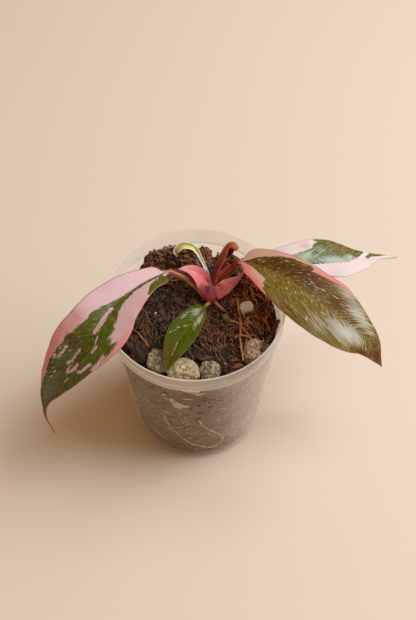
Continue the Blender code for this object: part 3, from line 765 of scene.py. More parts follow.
@dataclass(frozen=True)
class LeafFinish(Finish):
    """Living leaf skin: satin, with green and pink fields that meet in streaks along the side veins.

    The blade carries "spread" and "vein", places in millimetres, "pink", millimetres inside a pink
    field, and "brown", "deep", "stalk", "foot", "under" and its painted sheen, pale where the gloss would
    catch the light (0 to 1), and "edge", millimetres to the margin.
    """

    green: str
    green_light: str
    brown: str
    # Colour of the painted sheen, pale where the leaf's gloss would catch the light
    painted_sheen: str
    pink: str
    pink_deep: str
    margin: str
    stalk: str
    stalk_stripe: str
    under: str
    fleck: str
    foot: str = "#841428"
    streak_reach: float = 2.0
    speckle: float = 0.0
    midrib: float = 0.3
    roughness: float = 0.38
    gloss: float = 0.35
    margin_width: float = 0.6
    relief: float = 0.4

    def sockets(self, tree: Tree) -> Inputs:
        """Green and pink fields, ribs, margin, stalk and underside, over the relief of the veins.

        Args:
            tree: Node tree to build it in.

        Returns:
            Socket names to their values.
        """
        # The skin's own grain is finer than the one here, which is as coarse as it needs to break the gloss
        vein, spread = (node(tree, "Attribute", "Vector", attribute_name=name)
                        for name in ("vein", "spread"))
        painted = {name: node(tree, "Attribute", "Fac", attribute_name=name)
                   for name in ("pink", "brown", "painted_sheen", "deep", "stalk", "under", "edge", "foot")}
        streak, fleck, dots, stripe, grain, soft = (
            node(tree, "TexNoise", "Fac", {
                "Vector": node(tree, "VectorMath", 0, {0: way, 1: stretch}, operation="MULTIPLY"),
                "Scale": 1.0, "Detail": detail, "Roughness": rough})
            for way, stretch, detail, rough in (
                (vein, (1 / 1.3, 1 / 6, 1), 5, 0.6), (vein, (1 / 0.55, 1 / 1.8, 1), 3, 0.6),
                (vein, (1 / 0.8, 1 / 1.9, 1), 3, 0.5), (spread, (1 / 14, 1 / 0.7, 1), 2, 0.5),
                (spread, (2, 2, 2), 3, 0.5), (spread, (1 / 7, 1 / 7, 1 / 7), 3, 0.5)))

        # Each painted field's border wanders with the streaks or with a soft cloud
        loose = {}
        for name, value, reach in (("pink", streak, self.streak_reach), ("brown", soft, 0.25),
                                   ("painted_sheen", streak, 1.2), ("deep", soft, 0.2)):
            shift = node(tree, "MapRange", 0, {0: value, 3: -reach, 4: reach}, clamp=False)
            loose[name] = node(tree, "Math", 0, {0: shift, 1: painted[name]}, operation="ADD")
        small = node(tree, "MapRange", 0, {0: fleck, 3: -0.4, 4: 0.4}, clamp=False)
        inside = node(tree, "Math", 0, {0: loose["pink"], 1: small}, operation="ADD")
        # Painted sheen: pale streaky patches where the gloss would catch the light, kept near the painted
        # spots
        painted_sheen = node(tree, "MapRange", 0, {0: loose["painted_sheen"], 1: 0.3, 2: 1.1, 4: 0.85})
        near = node(tree, "MapRange", 0, {0: painted["painted_sheen"], 2: 0.3})
        painted_sheen = node(tree, "Math", 0, {0: painted_sheen, 1: near}, operation="MULTIPLY")
        along_rib, across = (node(tree, "SeparateXYZ", part, {0: spread}) for part in (0, 1))
        across = node(tree, "Math", 0, {0: across}, operation="ABSOLUTE")
        rib = node(tree, "MapRange", 0, {0: across, 1: 0.6, 2: 0.2, 4: self.midrib})
        fade = node(tree, "MapRange", 0, {0: along_rib, 1: 15.0, 2: 70.0, 3: 1.0, 4: 0.3})
        rib = node(tree, "Math", 0, {0: rib, 1: fade}, operation="MULTIPLY")

        green = layered(tree, self.green, (streak, 0.35, 0.7, 1, self.green_light, SMOOTH),
                        (fleck, 0.45, 0.8, 0.45, self.brown), (loose["brown"], 0.2, 0.9, 0.9, self.brown),
                        (painted_sheen, 0, 1, 1, self.painted_sheen), (dots, 0.6, 0.68, self.speckle, self.fleck))
        pink = layered(tree, self.pink, (loose["deep"], 0.05, 0.9, 1, self.pink_deep, SMOOTH),
                       (streak, 0.4, 0.75, 0.25, self.pink_deep))
        stalk = layered(tree, self.stalk, (stripe, 0.42, 0.6, 1, self.stalk_stripe),
                        (painted["foot"], 0, 1, 1, self.foot))
        colour = layered(tree, green, (inside, -0.12, 0.16, 1, pink, SMOOTH), (rib, 0, 1, 1, self.margin),
                         (painted["edge"], self.margin_width, 0.1, 0.85, self.margin),
                         (painted["stalk"], 0, 1, 1, stalk), (painted["under"], 0, 1, 0.7, self.under))

        line = node(tree, "SeparateXYZ", 0, {0: vein})
        drift = node(tree, "Math", 0, {0: soft, 1: 3.0}, operation="MULTIPLY")
        line = node(tree, "Math", 0, {0: line, 1: 1.35, 2: drift}, operation="MULTIPLY_ADD")
        ridge = node(tree, "Math", 0, {0: line}, operation="SINE")
        relief = node(tree, "Bump", 0, {"Height": ridge, "Distance": 0.14 * MM,
                                        "Strength": 0.6 * self.relief})
        for height, depth, strength in ((streak, 0.3, 0.5 * self.relief), (grain, 0.05, 0.5)):
            relief = node(tree, "Bump", 0, {"Height": height, "Distance": depth * MM, "Strength": strength,
                                            "Normal": relief})
        return {
            "Base Color": colour,
            "Roughness": node(tree, "MapRange", 0, {0: streak, 1: 0.3, 2: 0.8, 3: self.roughness - 0.05,
                                                    4: self.roughness + 0.09}),
            "Normal": relief,
            "Specular IOR Level": self.gloss,
            "Subsurface Weight": 0.05,
            "Subsurface Radius": (0.004, 0.002, 0.001),
        }


class Mark(Enum):
    """What a painted field of a blade is."""

    PINK = "pink"
    GREEN = "green"


@dataclass(frozen=True)
class Patch:
    """A painted field: its outline as places (along the blade 0 to 1, across it -1 to 1)."""

    mark: Mark
    outline: tuple


@dataclass(frozen=True)
class Streak:
    """A pink streak along a run of places, with its half width in millimetres."""

    run: tuple
    half: float


@dataclass(frozen=True)
class Blob:
    """A soft spot on a blade: its place, how far it reaches along and across, and its strength."""

    along: float
    across: float
    reach_along: float
    reach_across: float
    strength: float = 1.0


@dataclass(frozen=True)
class Leaf:
    """A blade on its stalk. The points run from the crown out to the tip, the half widths stand at
    STATIONS, and the angles are even steps from the blade's base to its tip."""

    name: str
    slot: str
    finish: LeafFinish | FleshFinish
    stalk: tuple
    rib: tuple
    stalk_width: tuple
    right: tuple
    left: tuple
    bank: tuple = (0, 0)
    lift_right: tuple = (18, 18)
    lift_left: tuple = (18, 18)
    curl: float = -8.0
    keel: float = 0.9
    thickness: float = 0.6
    rows: tuple[int, int] = (24, 130)
    columns: int = 20
    ripple: float = 0.25
    groove: float = 0.25
    patches: tuple[Patch, ...] = ()
    streaks: tuple[Streak, ...] = ()
    browns: tuple[Blob, ...] = ()
    # Spots of painted sheen, where the gloss would catch the light
    painted_sheens: tuple[Blob, ...] = ()
    deeps: tuple[Blob, ...] = ()

    def half_width(self, side: float, place: float) -> float:
        """The width of its right half, or of its left where side is below 0, at a place."""
        return along((0, *(self.right if side >= 0 else self.left), 0), place)


PINK_AND_GREEN = LeafFinish(
    "living_leaf_pink_and_green",
    green="#464a0c", green_light="#646618", brown="#54381a", painted_sheen="#747458", pink="#d4aaa4",
    pink_deep="#dc8a80", margin="#a8605a", stalk="#94502c", stalk_stripe="#c8845c", under="#b89a8c",
    fleck="#b8a868", foot="#6c0c20", streak_reach=1.6, speckle=0.8, midrib=0.15, roughness=0.42,
    gloss=0.22, relief=0.2,
)
OLIVE_BLADE = LeafFinish(
    "living_leaf_olive",
    green="#5c4610", green_light="#8a7030", brown="#542c08", painted_sheen="#c0b4a4", pink="#cc9c84",
    pink_deep="#dc7c70", margin="#b45c54", stalk="#7c2618", stalk_stripe="#b06838", under="#c48a80",
    fleck="#d0b880", streak_reach=0.7, speckle=0.8, midrib=0.45, roughness=0.38, gloss=0.06,
)
PALE_AND_GREEN = LeafFinish(
    "living_leaf_pale_pink_and_green",
    green="#464a10", green_light="#787630", brown="#7c5c26", painted_sheen="#bcc0aa", pink="#e6ccc2",
    pink_deep="#d8aca0", margin="#d4a094", stalk="#742e20", stalk_stripe="#a85844", under="#d8c0b4",
    fleck="#ccc088", streak_reach=1.4, speckle=0.7, midrib=0.1, roughness=0.36, gloss=0.2,
)
FRESH_GREEN = LeafFinish(
    "living_leaf_fresh_green",
    green="#384400", green_light="#525802", brown="#543e02", painted_sheen="#a8a088", pink="#b8a878",
    pink_deep="#a89868", margin="#7c7a40", stalk="#8c7c38", stalk_stripe="#a89858", under="#8a8a50",
    fleck="#8c8c38", foot="#8c7c38", streak_reach=0.8, speckle=0.3, midrib=0.25, roughness=0.34, gloss=0.03,
    margin_width=0.35, relief=0.15,
)
SHEATH_PINK = FleshFinish(
    "waxy_pink_sheath", foot="#a81c34", middle="#dc6468", tip="#d88078", streak="#f0b8ac", rim="#d89c8c",
    inner="#8c2430", streaks=0.6,
)
# Its light middle and near-white streaks are partly the sheath's own colour and partly a painted highlight
SHEATH_SALMON = FleshFinish(
    "waxy_salmon_sheath", foot="#901424", middle="#f07a7a", tip="#e08480", streak="#ffc4bc", rim="#b44c44",
    inner="#a84038", turning=(0.14, 0.45), streaks=0.55,
)
SHEATH_RED = FleshFinish(
    "waxy_red_sheath", foot="#8c1818", middle="#b8302c", tip="#cc4a40", streak="#d87060", rim="#a03028",
    inner="#8c2c20",
)
SHEATH_DRIED = FleshFinish(
    "dried_sheath", foot="#f4e8da", middle="#dcc844", tip="#bca41c", streak="#e4d088", rim="#fff4ea",
    inner="#ece6d8", turning=(0.4, 0.6), streaks=0.25, roughness=0.5, coat=0.0, rim_from=-0.1,
)

LEAVES = (
    Leaf(
        "leaf_left", "leaf_pink_green", PINK_AND_GREEN,
        stalk=((8.5, 15, 99), (6, 14.5, 101), (1.5, 17.3, 104.8), (-5, 19.5, 109.3), (-10, 20.2, 112)),
        rib=((-15, 20, 114), (-29, 8, 120), (-43, -5.5, 120), (-54, -19, 116), (-67, -30, 104),
             (-79, -38, 88), (-83, -42, 77), (-83.6, -45, 68), (-80, -49, 58)),
        stalk_width=(3.0, 1.4),
        right=(5, 8, 12.5, 16, 16.5, 11, 2), left=(7.5, 9, 15, 20, 16, 10, 1),
        bank=(9, 3, -2, -13), lift_right=(22, 22, 19), lift_left=(31, 13, 16),
        patches=(
            Patch(Mark.PINK, (
                (-0.05, 0.1), (0.1, 0.05), (0.2, 0.04), (0.25, 0.08), (0.3, 0.2), (0.33, 0.31), (0.36, 0.43),
                (0.385, 0.46), (0.4, 0.42), (0.45, 0.5), (0.49, 0.52), (0.5, 0.62), (0.56, 0.62),
                (0.6, 0.68), (0.65, 0.76), (0.68, 0.77), (0.7, 0.72), (0.73, 0.78), (0.77, 0.86),
                (0.84, 1.05), (0.8, 1.4), (-0.05, 1.4))),
            Patch(Mark.PINK, (
                (-0.05, -0.2), (0.1, -0.22), (0.2, -0.17), (0.25, -0.2), (0.3, -0.3), (0.33, -0.38),
                (0.37, -0.44), (0.375, -0.52), (0.4, -0.6), (0.43, -0.69), (0.405, -0.78), (0.42, -0.84),
                (0.46, -0.9), (0.5, -0.95), (0.54, -0.98), (0.54, -1.4), (-0.05, -1.4))),
            Patch(Mark.GREEN, (
                (0.04, -0.2), (0.07, -0.3), (0.11, -0.42), (0.13, -0.55), (0.15, -0.7), (0.17, -0.84),
                (0.165, -0.97), (0.02, -0.97))),
            Patch(Mark.PINK, ((0.54, 0.36), (0.545, 0.45), (0.58, 0.47), (0.615, 0.5), (0.612, 0.41),
                              (0.58, 0.37))),
        ),
        streaks=(
            Streak(((0.31, -0.01), (0.36, -0.02), (0.43, -0.06)), 0.9),
            Streak(((0.52, -0.03), (0.58, -0.05), (0.6, 0.05)), 0.8),
            Streak(((0.61, 0.6), (0.63, 0.62)), 0.5), Streak(((0.57, 0.53), (0.575, 0.55)), 0.5),
            Streak(((0.59, -0.15), (0.635, -0.18)), 0.5),
            Streak(((0.565, -0.38), (0.6, -0.38), (0.618, -0.3)), 0.8),
            Streak(((0.583, -0.4), (0.586, -0.48)), 0.5),
            Streak(((0.525, -0.72), (0.57, -0.71), (0.583, -0.64)), 0.8),
            Streak(((0.46, -0.42), (0.49, -0.45)), 0.5), Streak(((0.43, -0.23), (0.458, -0.3)), 0.4),
            Streak(((0.385, -0.53), (0.412, -0.56)), 0.5), Streak(((0.47, -0.81), (0.53, -0.95)), 0.8),
            Streak(((0.55, 0.22), (0.562, 0.22)), 0.3), Streak(((0.45, -0.13), (0.46, -0.17)), 0.3),
            Streak(((0.63, -0.54), (0.66, -0.5)), 0.4), Streak(((0.66, 0.3), (0.7, 0.34)), 0.35),
        ),
        browns=(Blob(0.9, 0, 0.16, 2), Blob(0.51, 0.3, 0.04, 0.3, 0.8), Blob(0.52, -0.3, 0.05, 0.14, 0.6),
                Blob(0.68, -0.4, 0.05, 0.4, 0.4)),
        painted_sheens=(Blob(0.62, 0.3, 0.14, 0.45, 0.6), Blob(0.68, -0.2, 0.14, 0.6, 0.5),
               Blob(0.78, 0.3, 0.1, 0.6, 0.5), Blob(0.77, 0.15, 0.13, 0.7, 1.2)),
        deeps=(Blob(0.6, 0.95, 0.17, 0.3), Blob(0.25, -0.95, 0.09, 0.25, 0.3),
               Blob(0.45, 0.7, 0.1, 0.3, 0.5), Blob(0.41, -1, 0.08, 0.25, 0.9), Blob(1, 0, 0.07, 2)),
    ),
    Leaf(
        "leaf_right_front", "leaf_olive", OLIVE_BLADE,
        stalk=((9.8, 16.4, 99.5), (11.6, 18.6, 101.2), (13.8, 20.2, 104.2), (17.6, 21.5, 108.6),
               (21.6, 21.8, 113.2)),
        rib=((25, 22, 119), (36, 17.5, 122), (51, 7, 123), (64, -3, 120), (78, -12, 114), (93, -20, 105),
             (101, -31, 94)),
        stalk_width=(1.9, 1.8),
        right=(6, 10.5, 16, 19, 21, 19.5, 11), left=(6.5, 10.5, 13.5, 16, 18.5, 17.5, 8),
        bank=(-4, 1, 11, 15), lift_right=(13, 9, 3), lift_left=(26, 15, 6), curl=-14,
        patches=(
            Patch(Mark.PINK, (
                (-0.05, 0.1), (0.05, 0.14), (0.1, 0.34), (0.15, 0.44), (0.2, 0.5), (0.205, 0.72),
                (0.23, 0.78), (0.21, 0.88), (0.26, 0.95), (0.27, 1.4), (-0.05, 1.4))),
            Patch(Mark.PINK, (
                (-0.05, -0.05), (0.04, -0.2), (0.08, -0.38), (0.12, -0.54), (0.17, -0.68), (0.2, -0.79),
                (0.25, -0.87), (0.34, -0.92), (0.36, -1.4), (-0.05, -1.4))),
            Patch(Mark.PINK, (
                (0.365, -0.68), (0.38, -0.76), (0.42, -0.81), (0.47, -0.84), (0.53, -0.88), (0.6, -0.92),
                (0.72, -0.95), (0.82, -0.93), (0.82, -1.4), (0.35, -1.4), (0.34, -0.95), (0.37, -0.85))),
        ),
        streaks=(
            Streak(((0.4, -0.3), (0.5, -0.42), (0.58, -0.47), (0.7, -0.5)), 0.3),
            Streak(((0.32, 0.31), (0.328, 0.34)), 0.45), Streak(((0.42, 0.12), (0.428, 0.1)), 0.35),
            Streak(((0.46, 0.12), (0.472, 0.15)), 0.4), Streak(((0.29, 0.48), (0.296, 0.5)), 0.35),
            Streak(((0.365, 0.22), (0.38, 0.26)), 0.3), Streak(((0.4, -0.4), (0.42, -0.43)), 0.35),
            Streak(((0.49, 0.68), (0.5, 0.73)), 0.4), Streak(((0.54, 0.26), (0.56, 0.28)), 0.35),
        ),
        browns=(Blob(0.32, -0.5, 0.3, 0.45), Blob(0.12, -0.1, 0.1, 0.3, 0.7), Blob(0.95, 0.1, 0.1, 1, 1),
                Blob(0.58, -0.35, 0.16, 0.34, 0.8), Blob(0.42, 0.85, 0.16, 0.14, 0.6),
                Blob(0.84, 0.85, 0.1, 0.3, 0.9)),
        painted_sheens=(Blob(0.7, 0.36, 0.14, 0.4, 1.1), Blob(0.58, 0.6, 0.1, 0.34, 0.6),
               Blob(0.74, -0.55, 0.11, 0.4, 1), Blob(0.62, -0.82, 0.13, 0.22, 0.9),
               Blob(0.8, 0, 0.05, 0.5, 0.3)),
        deeps=(Blob(0.04, 0.6, 0.06, 0.6), Blob(0.14, 0.95, 0.14, 0.25), Blob(0.5, -0.85, 0.16, 0.3)),
    ),
    Leaf(
        "leaf_right_back", "leaf_pink_green", PALE_AND_GREEN,
        stalk=((9.6, 17.4, 98.5), (13.2, 23.2, 100), (17.5, 26.6, 103), (22, 27.8, 107.5),
               (27, 28.2, 112), (31.5, 28.2, 115)),
        rib=((38, 28, 117.5), (50, 26.5, 119), (64, 26, 118), (81, 27, 115.5), (99, 29.5, 110),
             (115, 34, 105)),
        stalk_width=(1.8, 1.5),
        right=(2, 4, 7.5, 11, 13.5, 8.2, 1.1), left=(2.5, 5.5, 9, 11.5, 9.5, 5.5, 3.2),
        bank=(6, 0, 8, 0), lift_right=(8, -2, 7), lift_left=(14, 14, 16),
        patches=(
            Patch(Mark.PINK, (
                (-0.05, 0.6), (0.2, 0.56), (0.3, 0.55), (0.36, 0.48), (0.43, 0.38), (0.5, 0.3),
                (0.6, 0.25), (0.64, 0.12), (0.68, -0.08), (0.7, -0.3), (0.71, -0.5), (0.73, -0.72),
                (0.74, -1.4), (1.1, -1.4), (1.1, 1.4), (-0.05, 1.4))),
            Patch(Mark.PINK, (
                (-0.05, 0), (0.2, -0.02), (0.25, -0.2), (0.31, -0.38), (0.35, -0.5), (0.36, -0.72),
                (0.39, -0.8), (0.36, -0.86), (0.35, -1.4), (-0.05, -1.4))),
            Patch(Mark.GREEN, (
                (0.735, -0.15), (0.765, -0.05), (0.8, -0.35), (0.86, -0.45), (0.93, -0.9), (0.92, -1.4),
                (0.79, -1.4), (0.78, -0.75))),
        ),
        browns=(Blob(0.84, -0.6, 0.1, 0.6), Blob(0.55, -0.6, 0.1, 0.35, 0.8)),
        painted_sheens=(Blob(0.3, 0.05, 0.12, 0.55), Blob(0.5, 0.18, 0.14, 0.26, 1.3),
               Blob(0.4, -0.35, 0.06, 0.3, 0.7), Blob(0.62, 0, 0.05, 0.25, 1.1)),
        deeps=(Blob(0.3, -0.65, 0.05, 0.2, 0.8), Blob(0.9, 0.1, 0.15, 0.5, 0.5), Blob(1, 0, 0.06, 2, 1)),
    ),
    Leaf(
        "leaf_small", "leaf_green", FRESH_GREEN,
        stalk=((9, 13, 97.5), (7.6, 9, 99)),
        rib=((6, 6, 101), (3, -1, 104), (-4, -12, 107), (-8, -19, 108), (-13, -29, 107),
             (-16, -38, 104)),
        stalk_width=(1.1, 1.0),
        right=(2, 5, 7, 8, 8.5, 7, 3.5), left=(1, 2.5, 5, 6.5, 7, 6, 4),
        bank=(22, 24, 16, 11), lift_right=(19, 18, 17), lift_left=(14, 14, 16), curl=-13,
        keel=0.5, rows=(12, 90), columns=14,
        streaks=(
            Streak(((0.38, 0.1), (0.42, 0.2), (0.45, 0.28)), 0.18),
            Streak(((0.5, 0.48), (0.56, 0.6), (0.61, 0.82)), 0.2),
            Streak(((0.64, 0.02), (0.72, -0.08), (0.82, -0.12)), 0.24),
        ),
        browns=(Blob(0.85, 0.2, 0.25, 1), Blob(0.95, -0.3, 0.2, 1)),
        painted_sheens=(Blob(0.2, 0.4, 0.11, 0.35, 1.1), Blob(0.24, -0.35, 0.14, 0.3, 1.2),
               Blob(0.4, -0.45, 0.05, 0.14, 0.7), Blob(0.34, 0.78, 0.1, 0.12, 0.9)),
    ),
)

SHEATHS = (
    Leaf(
        "sheath_left", "sheath_pink", SHEATH_SALMON,
        stalk=((9, 15.6, 100.4),),
        rib=((7.6, 19.4, 103.2), (4.6, 21.8, 106.6), (0.8, 22.8, 109.8), (-4, 22.6, 113),
             (-9, 21.2, 115.2)),
        stalk_width=(2.4, 2.4),
        right=(2.6, 3.4, 4, 4, 3.6, 2.7, 1.6), left=(4.2, 6.6, 8.6, 8.6, 6.8, 4.2, 2),
        bank=(24, 14), lift_right=(24, 20), lift_left=(22, 20), curl=14, keel=0.1, rows=(8, 60),
        columns=14, ripple=0.08, groove=0.0,
    ),
    Leaf(
        "sheath_right", "sheath_pink", SHEATH_PINK,
        stalk=((8.4, 13.2, 96.6),),
        rib=((9.8, 11.9, 97.6), (13.4, 11.5, 99.4), (18, 13, 102), (21.4, 15.2, 105), (24.8, 17.4, 109),
             (27.2, 19.2, 114)),
        stalk_width=(2.6, 2.6),
        right=(2, 2.4, 2.6, 2.6, 2, 1.4, 0.8), left=(4.8, 6.2, 7.6, 8.2, 7.6, 5.4, 2.8),
        bank=(-100, -100), lift_right=(-42, -36), lift_left=(-45, -38), curl=-18, keel=0.1, rows=(8, 60),
        columns=14, ripple=0.08, groove=0.0,
    ),
    Leaf(
        "sheath_red_tip", "new_leaf_red", SHEATH_RED,
        stalk=((10.8, 17.2, 102),),
        rib=((12.4, 19.3, 105.6), (15.2, 21.4, 109.6), (18.4, 22.8, 113.2), (21.4, 23.5, 116.8)),
        stalk_width=(1.0, 1.0),
        right=(1.0, 1.2, 1.6, 1.9, 1.7, 1.2, 0.6), left=(0.9, 1.1, 1.5, 1.9, 1.7, 1.2, 0.6),
        bank=(0, 0), lift_right=(40, 30), lift_left=(40, 30), curl=20, keel=0.1, rows=(6, 44), columns=10,
        ripple=0.05, groove=0.0,
    ),
    Leaf(
        "sheath_dried", "dried_sheath", SHEATH_DRIED,
        stalk=((9, 18, 99.5),),
        rib=((8.6, 22.5, 101.5), (7.2, 26.4, 104), (5.6, 29.3, 106.8), (3.5, 32.2, 111),
             (1.5, 34, 114.7), (-1.1, 34.8, 117.6), (-4, 34.9, 119), (-7, 34.6, 119.3),
             (-9.3, 33.4, 118), (-10.4, 32.5, 115.5), (-9.9, 31.9, 112)),
        stalk_width=(1.0, 0.9),
        right=(0.9, 1.0, 1.1, 1.3, 1.9, 2.3, 2.1), left=(0.9, 1.0, 1.1, 1.4, 2.1, 2.6, 2.4),
        bank=(0, 30, 45), lift_right=(25, 30), lift_left=(25, 30), curl=20, keel=0.1, rows=(6, 90),
        columns=8, ripple=0.05, groove=0.0,
    ),
)


@dataclass
class Foliage:
    """The leaves and sheaths: each a stalk that flattens into a blade, one closed skin, painted by its
    fields, streaks and spots."""

    leaves: tuple[Leaf, ...] = LEAVES + SHEATHS
    samples: int = 900
    stalk_ridges: int = 9
    # Half widths of the rib under a blade and of the groove over it, and of the rim that dries
    keel_half: float = 1.4
    groove_half: float = 0.7
    rim_width: float = 0.9
    # How far the stalk's red reaches from its foot, and its colour into the blade as a share
    foot_reach: float = 9.0
    stalk_fade: float = 0.02
    # How the side veins bend to the tip, and what keeps the patterns of halves and sides apart
    vein_bend: float = 0.05
    side_apart: float = 60.0
    under_apart: float = 40.0

    def build(self) -> None:
        """Builds every leaf."""
        for leaf in self.leaves:
            self.build_leaf(leaf)

    def half(self, leaf: Leaf, place: float, side: int) -> list[tuple[float, float, float]]:
        """Offsets across one half of a blade.

        Args:
            leaf: The leaf.
            place: From 0 at the blade's base to 1 at its tip.
            side: 1 for its right half, -1 for its left.

        Returns:
            How far out and up each column lies, and the slope there.
        """
        lift = math.radians(eased(leaf.lift_right if side > 0 else leaf.lift_left, place))
        reach = max(0.0, leaf.half_width(side, place))
        columns = [(0.0, 0.0, lift)]
        for step in range(leaf.columns):
            slope = lift + math.radians(leaf.curl) * (step + 0.5) / leaf.columns
            out, rise, _ = columns[-1]
            length = reach / leaf.columns
            columns.append((out + math.cos(slope) * length, rise + math.sin(slope) * length, slope))
        return columns

    def ring(self, leaf: Leaf, centre: Vector, way: Vector, place: float, reach: float) -> list[tuple]:
        """The ring round a blade, or round its stalk where place is below 0.

        Args:
            leaf: The leaf.
            centre: Point of the rib.
            way: Direction of the rib.
            place: From -1 at the stalk's foot, by 0 at the blade's base, to 1 at its tip.
            reach: Millimetres from the blade's base.

        Returns:
            For each point, top side first and then the underside back again: the point, its share
            across the blade, its offset in millimetres and 1 if it is on the underside.
        """
        across, above = aside(way)
        bank = math.radians(eased(leaf.bank, place))
        side = across * math.cos(bank) + above * math.sin(bank)
        up = above * math.cos(bank) - across * math.sin(bank)
        count = 2 * leaf.columns + 1
        stalk = eased(leaf.stalk_width, 1 + place) if place < 0 else leaf.stalk_width[-1]
        thick = min(stalk, leaf.stalk_width[-1])
        inward = max(place, 0.0)
        blend = min(1.0, inward / STALK_END)
        blend = blend * blend * (3 - 2 * blend)
        halves = {hand: self.half(leaf, inward, hand) for hand in (1, -1)}
        upper = []
        lower = []
        for index in range(count):
            turn = math.pi * (1 - (index + 0.5) / count)
            column = index - leaf.columns
            hand = 1 if column >= 0 else -1
            out, rise, slope = halves[hand][abs(column)]
            share = abs(column) / leaf.columns

            # The margin ripples in two lengths, so that no wave is like the next
            wave = math.sin(reach / (3.1 + hand * 0.4) + hand) + 0.6 * math.sin(reach / 1.7 + 2 * hand)
            rise += leaf.ripple * 4 * inward * (1 - inward) * share ** 3 * wave
            thin = leaf.thickness / 2 * (1 - 0.6 * share ** 4)
            rib = leaf.keel * (1 - 0.7 * inward) * max(0.0, 1 - abs(out) / self.keel_half) ** 0.7
            slant = hand * math.sin(slope) if column else 0.0
            out = max(out, 0.02 * abs(column))
            groove = leaf.groove * max(0.0, 1 - abs(out) / self.groove_half)
            flat_top = (hand * out - slant * thin, rise + math.cos(slope) * thin - groove)
            flat_bottom = (hand * out + slant * thin, rise - math.cos(slope) * thin - rib)
            ridge = 1 + 0.05 * math.cos(self.stalk_ridges * turn) * (1 - blend)
            full_top = (stalk * ridge * math.cos(turn), thick * ridge * math.sin(turn))
            full_bottom = (full_top[0], -full_top[1])
            for side_points, flat, full, below in ((upper, flat_top, full_top, 0.0),
                                                   (lower, flat_bottom, full_bottom, 1.0)):
                x = full[0] + (flat[0] - full[0]) * blend
                z = full[1] + (flat[1] - full[1]) * blend
                side_points.append((centre + side * x + up * z, hand * share, x, below))
        return upper + lower[::-1]

    def build_leaf(self, leaf: Leaf) -> None:
        """Builds one leaf and paints it.

        Args:
            leaf: The leaf.
        """
        points = spline(leaf.stalk + leaf.rib, self.samples)
        start = min(range(len(points)), key=lambda i: (points[i] - Vector(leaf.rib[0])).length)
        ways = tangents(points)
        last = len(points) - 1
        step = (points[1] - points[0]).length
        length = step * (last - start)
        stalk_rows, blade_rows = leaf.rows
        stations = [row / stalk_rows - 1 for row in range(stalk_rows)]
        stations += [row / blade_rows for row in range(blade_rows + 1)]
        rings = []
        table = []
        for place in stations:
            index = round(start * (1 + place) if place < 0 else start + (last - start) * place)
            reach = step * (index - start)
            ring = self.ring(leaf, points[index], ways[index], place, reach)
            rings.append([point for point, *_ in ring])
            for _, share, offset, below in ring:
                away = abs(offset)
                half = max(0.01, leaf.half_width(share, clamped(place)))
                vein = reach - away - self.vein_bend * away * away
                table.append((reach, share, offset, below, vein, half))
        table = np.array(table)
        reach, share, offset, below, vein, half = table.T
        layers = self.paint(leaf, np.column_stack((reach / length, share)), length)
        under = self.under_apart * below
        layers["spread"] = np.column_stack((reach, offset, under))
        layers["vein"] = np.column_stack((vein, np.abs(offset) + self.side_apart * (offset > 0), under))
        layers["under"] = below
        layers["stalk"] = np.clip(1 - reach / length / self.stalk_fade, 0, 1)
        layers["foot"] = np.clip(1.3 - (reach + step * start) / self.foot_reach, 0, 1)
        layers["edge"] = (1 - np.abs(share)) * half
        layers["rim"] = np.clip(1 - layers["edge"] / self.rim_width, 0, 1) * (reach > 0.05 * length)
        layers["place"] = (reach + step * start) / (length + step * start)
        piece = ring_skin(leaf.name + "_skin", rings, layers, leaf.finish.dress())
        placed(piece, leaf.slot, leaf.name)

    def paint(self, leaf: Leaf, places: np.ndarray, length: float) -> dict[str, np.ndarray]:
        """The painted values of a leaf at its points.

        Args:
            leaf: The leaf.
            places: Places along and across the blade, one row a point.
            length: The blade's length in millimetres.

        Returns:
            Values by name: pink (millimetres inside a pink field), brown, deep and the painted sheen (0 to
                1).
        """
        span = np.array([length, 0.8 * max(leaf.right)])
        flat = places * span
        pink = np.full(len(places), -6.0)
        for patch in leaf.patches:
            inside = self.inside(flat, np.array(patch.outline) * span)
            pink = np.maximum(pink, inside) if patch.mark is Mark.PINK else np.minimum(pink, -inside)
        for streak in leaf.streaks:
            run = np.array(streak.run) * span
            pink = np.maximum(pink, streak.half - self.away(flat, zip(run, run[1:])))
        values = {"pink": np.clip(pink, -6, 6)}
        for name, blobs in (("brown", leaf.browns), ("painted_sheen", leaf.painted_sheens), ("deep", leaf.deeps)):
            total = np.zeros(len(places))
            for blob in blobs:
                far = (((places[:, 0] - blob.along) / blob.reach_along) ** 2
                       + ((places[:, 1] - blob.across) / blob.reach_across) ** 2)
                total = np.maximum(total, blob.strength * np.exp(-far))
            values[name] = total
        return values

    def away(self, places: np.ndarray, edges: Iterable) -> np.ndarray:
        """Distances of places from the nearest of some straight edges.

        Args:
            places: The places, one row each.
            edges: Start and end of each edge.

        Returns:
            A distance for each place.
        """
        best = np.full(len(places), np.inf)
        for start, end in edges:
            edge = end - start
            part = np.clip((places - start) @ edge / max(edge @ edge, 1e-9), 0, 1)
            best = np.minimum(best, np.linalg.norm(places - start - part[:, None] * edge, axis=1))
        return best

    def inside(self, places: np.ndarray, outline: np.ndarray) -> np.ndarray:
        """Signed distances of places from a closed outline, positive inside it.

        Args:
            places: The places, one row each.
            outline: The outline's points, one row each.

        Returns:
            A distance for each place.
        """
        ends = np.roll(outline, -1, axis=0)
        within = np.zeros(len(places), bool)
        for start, end in zip(outline, ends):
            crosses = (start[1] > places[:, 1]) != (end[1] > places[:, 1])
            rise = end[1] - start[1] or 1e-9
            meet = start[0] + (places[:, 1] - start[1]) * (end[0] - start[0]) / rise
            within ^= crosses & (places[:, 0] < meet)
        return np.where(within, 1, -1) * self.away(places, zip(outline, ends))


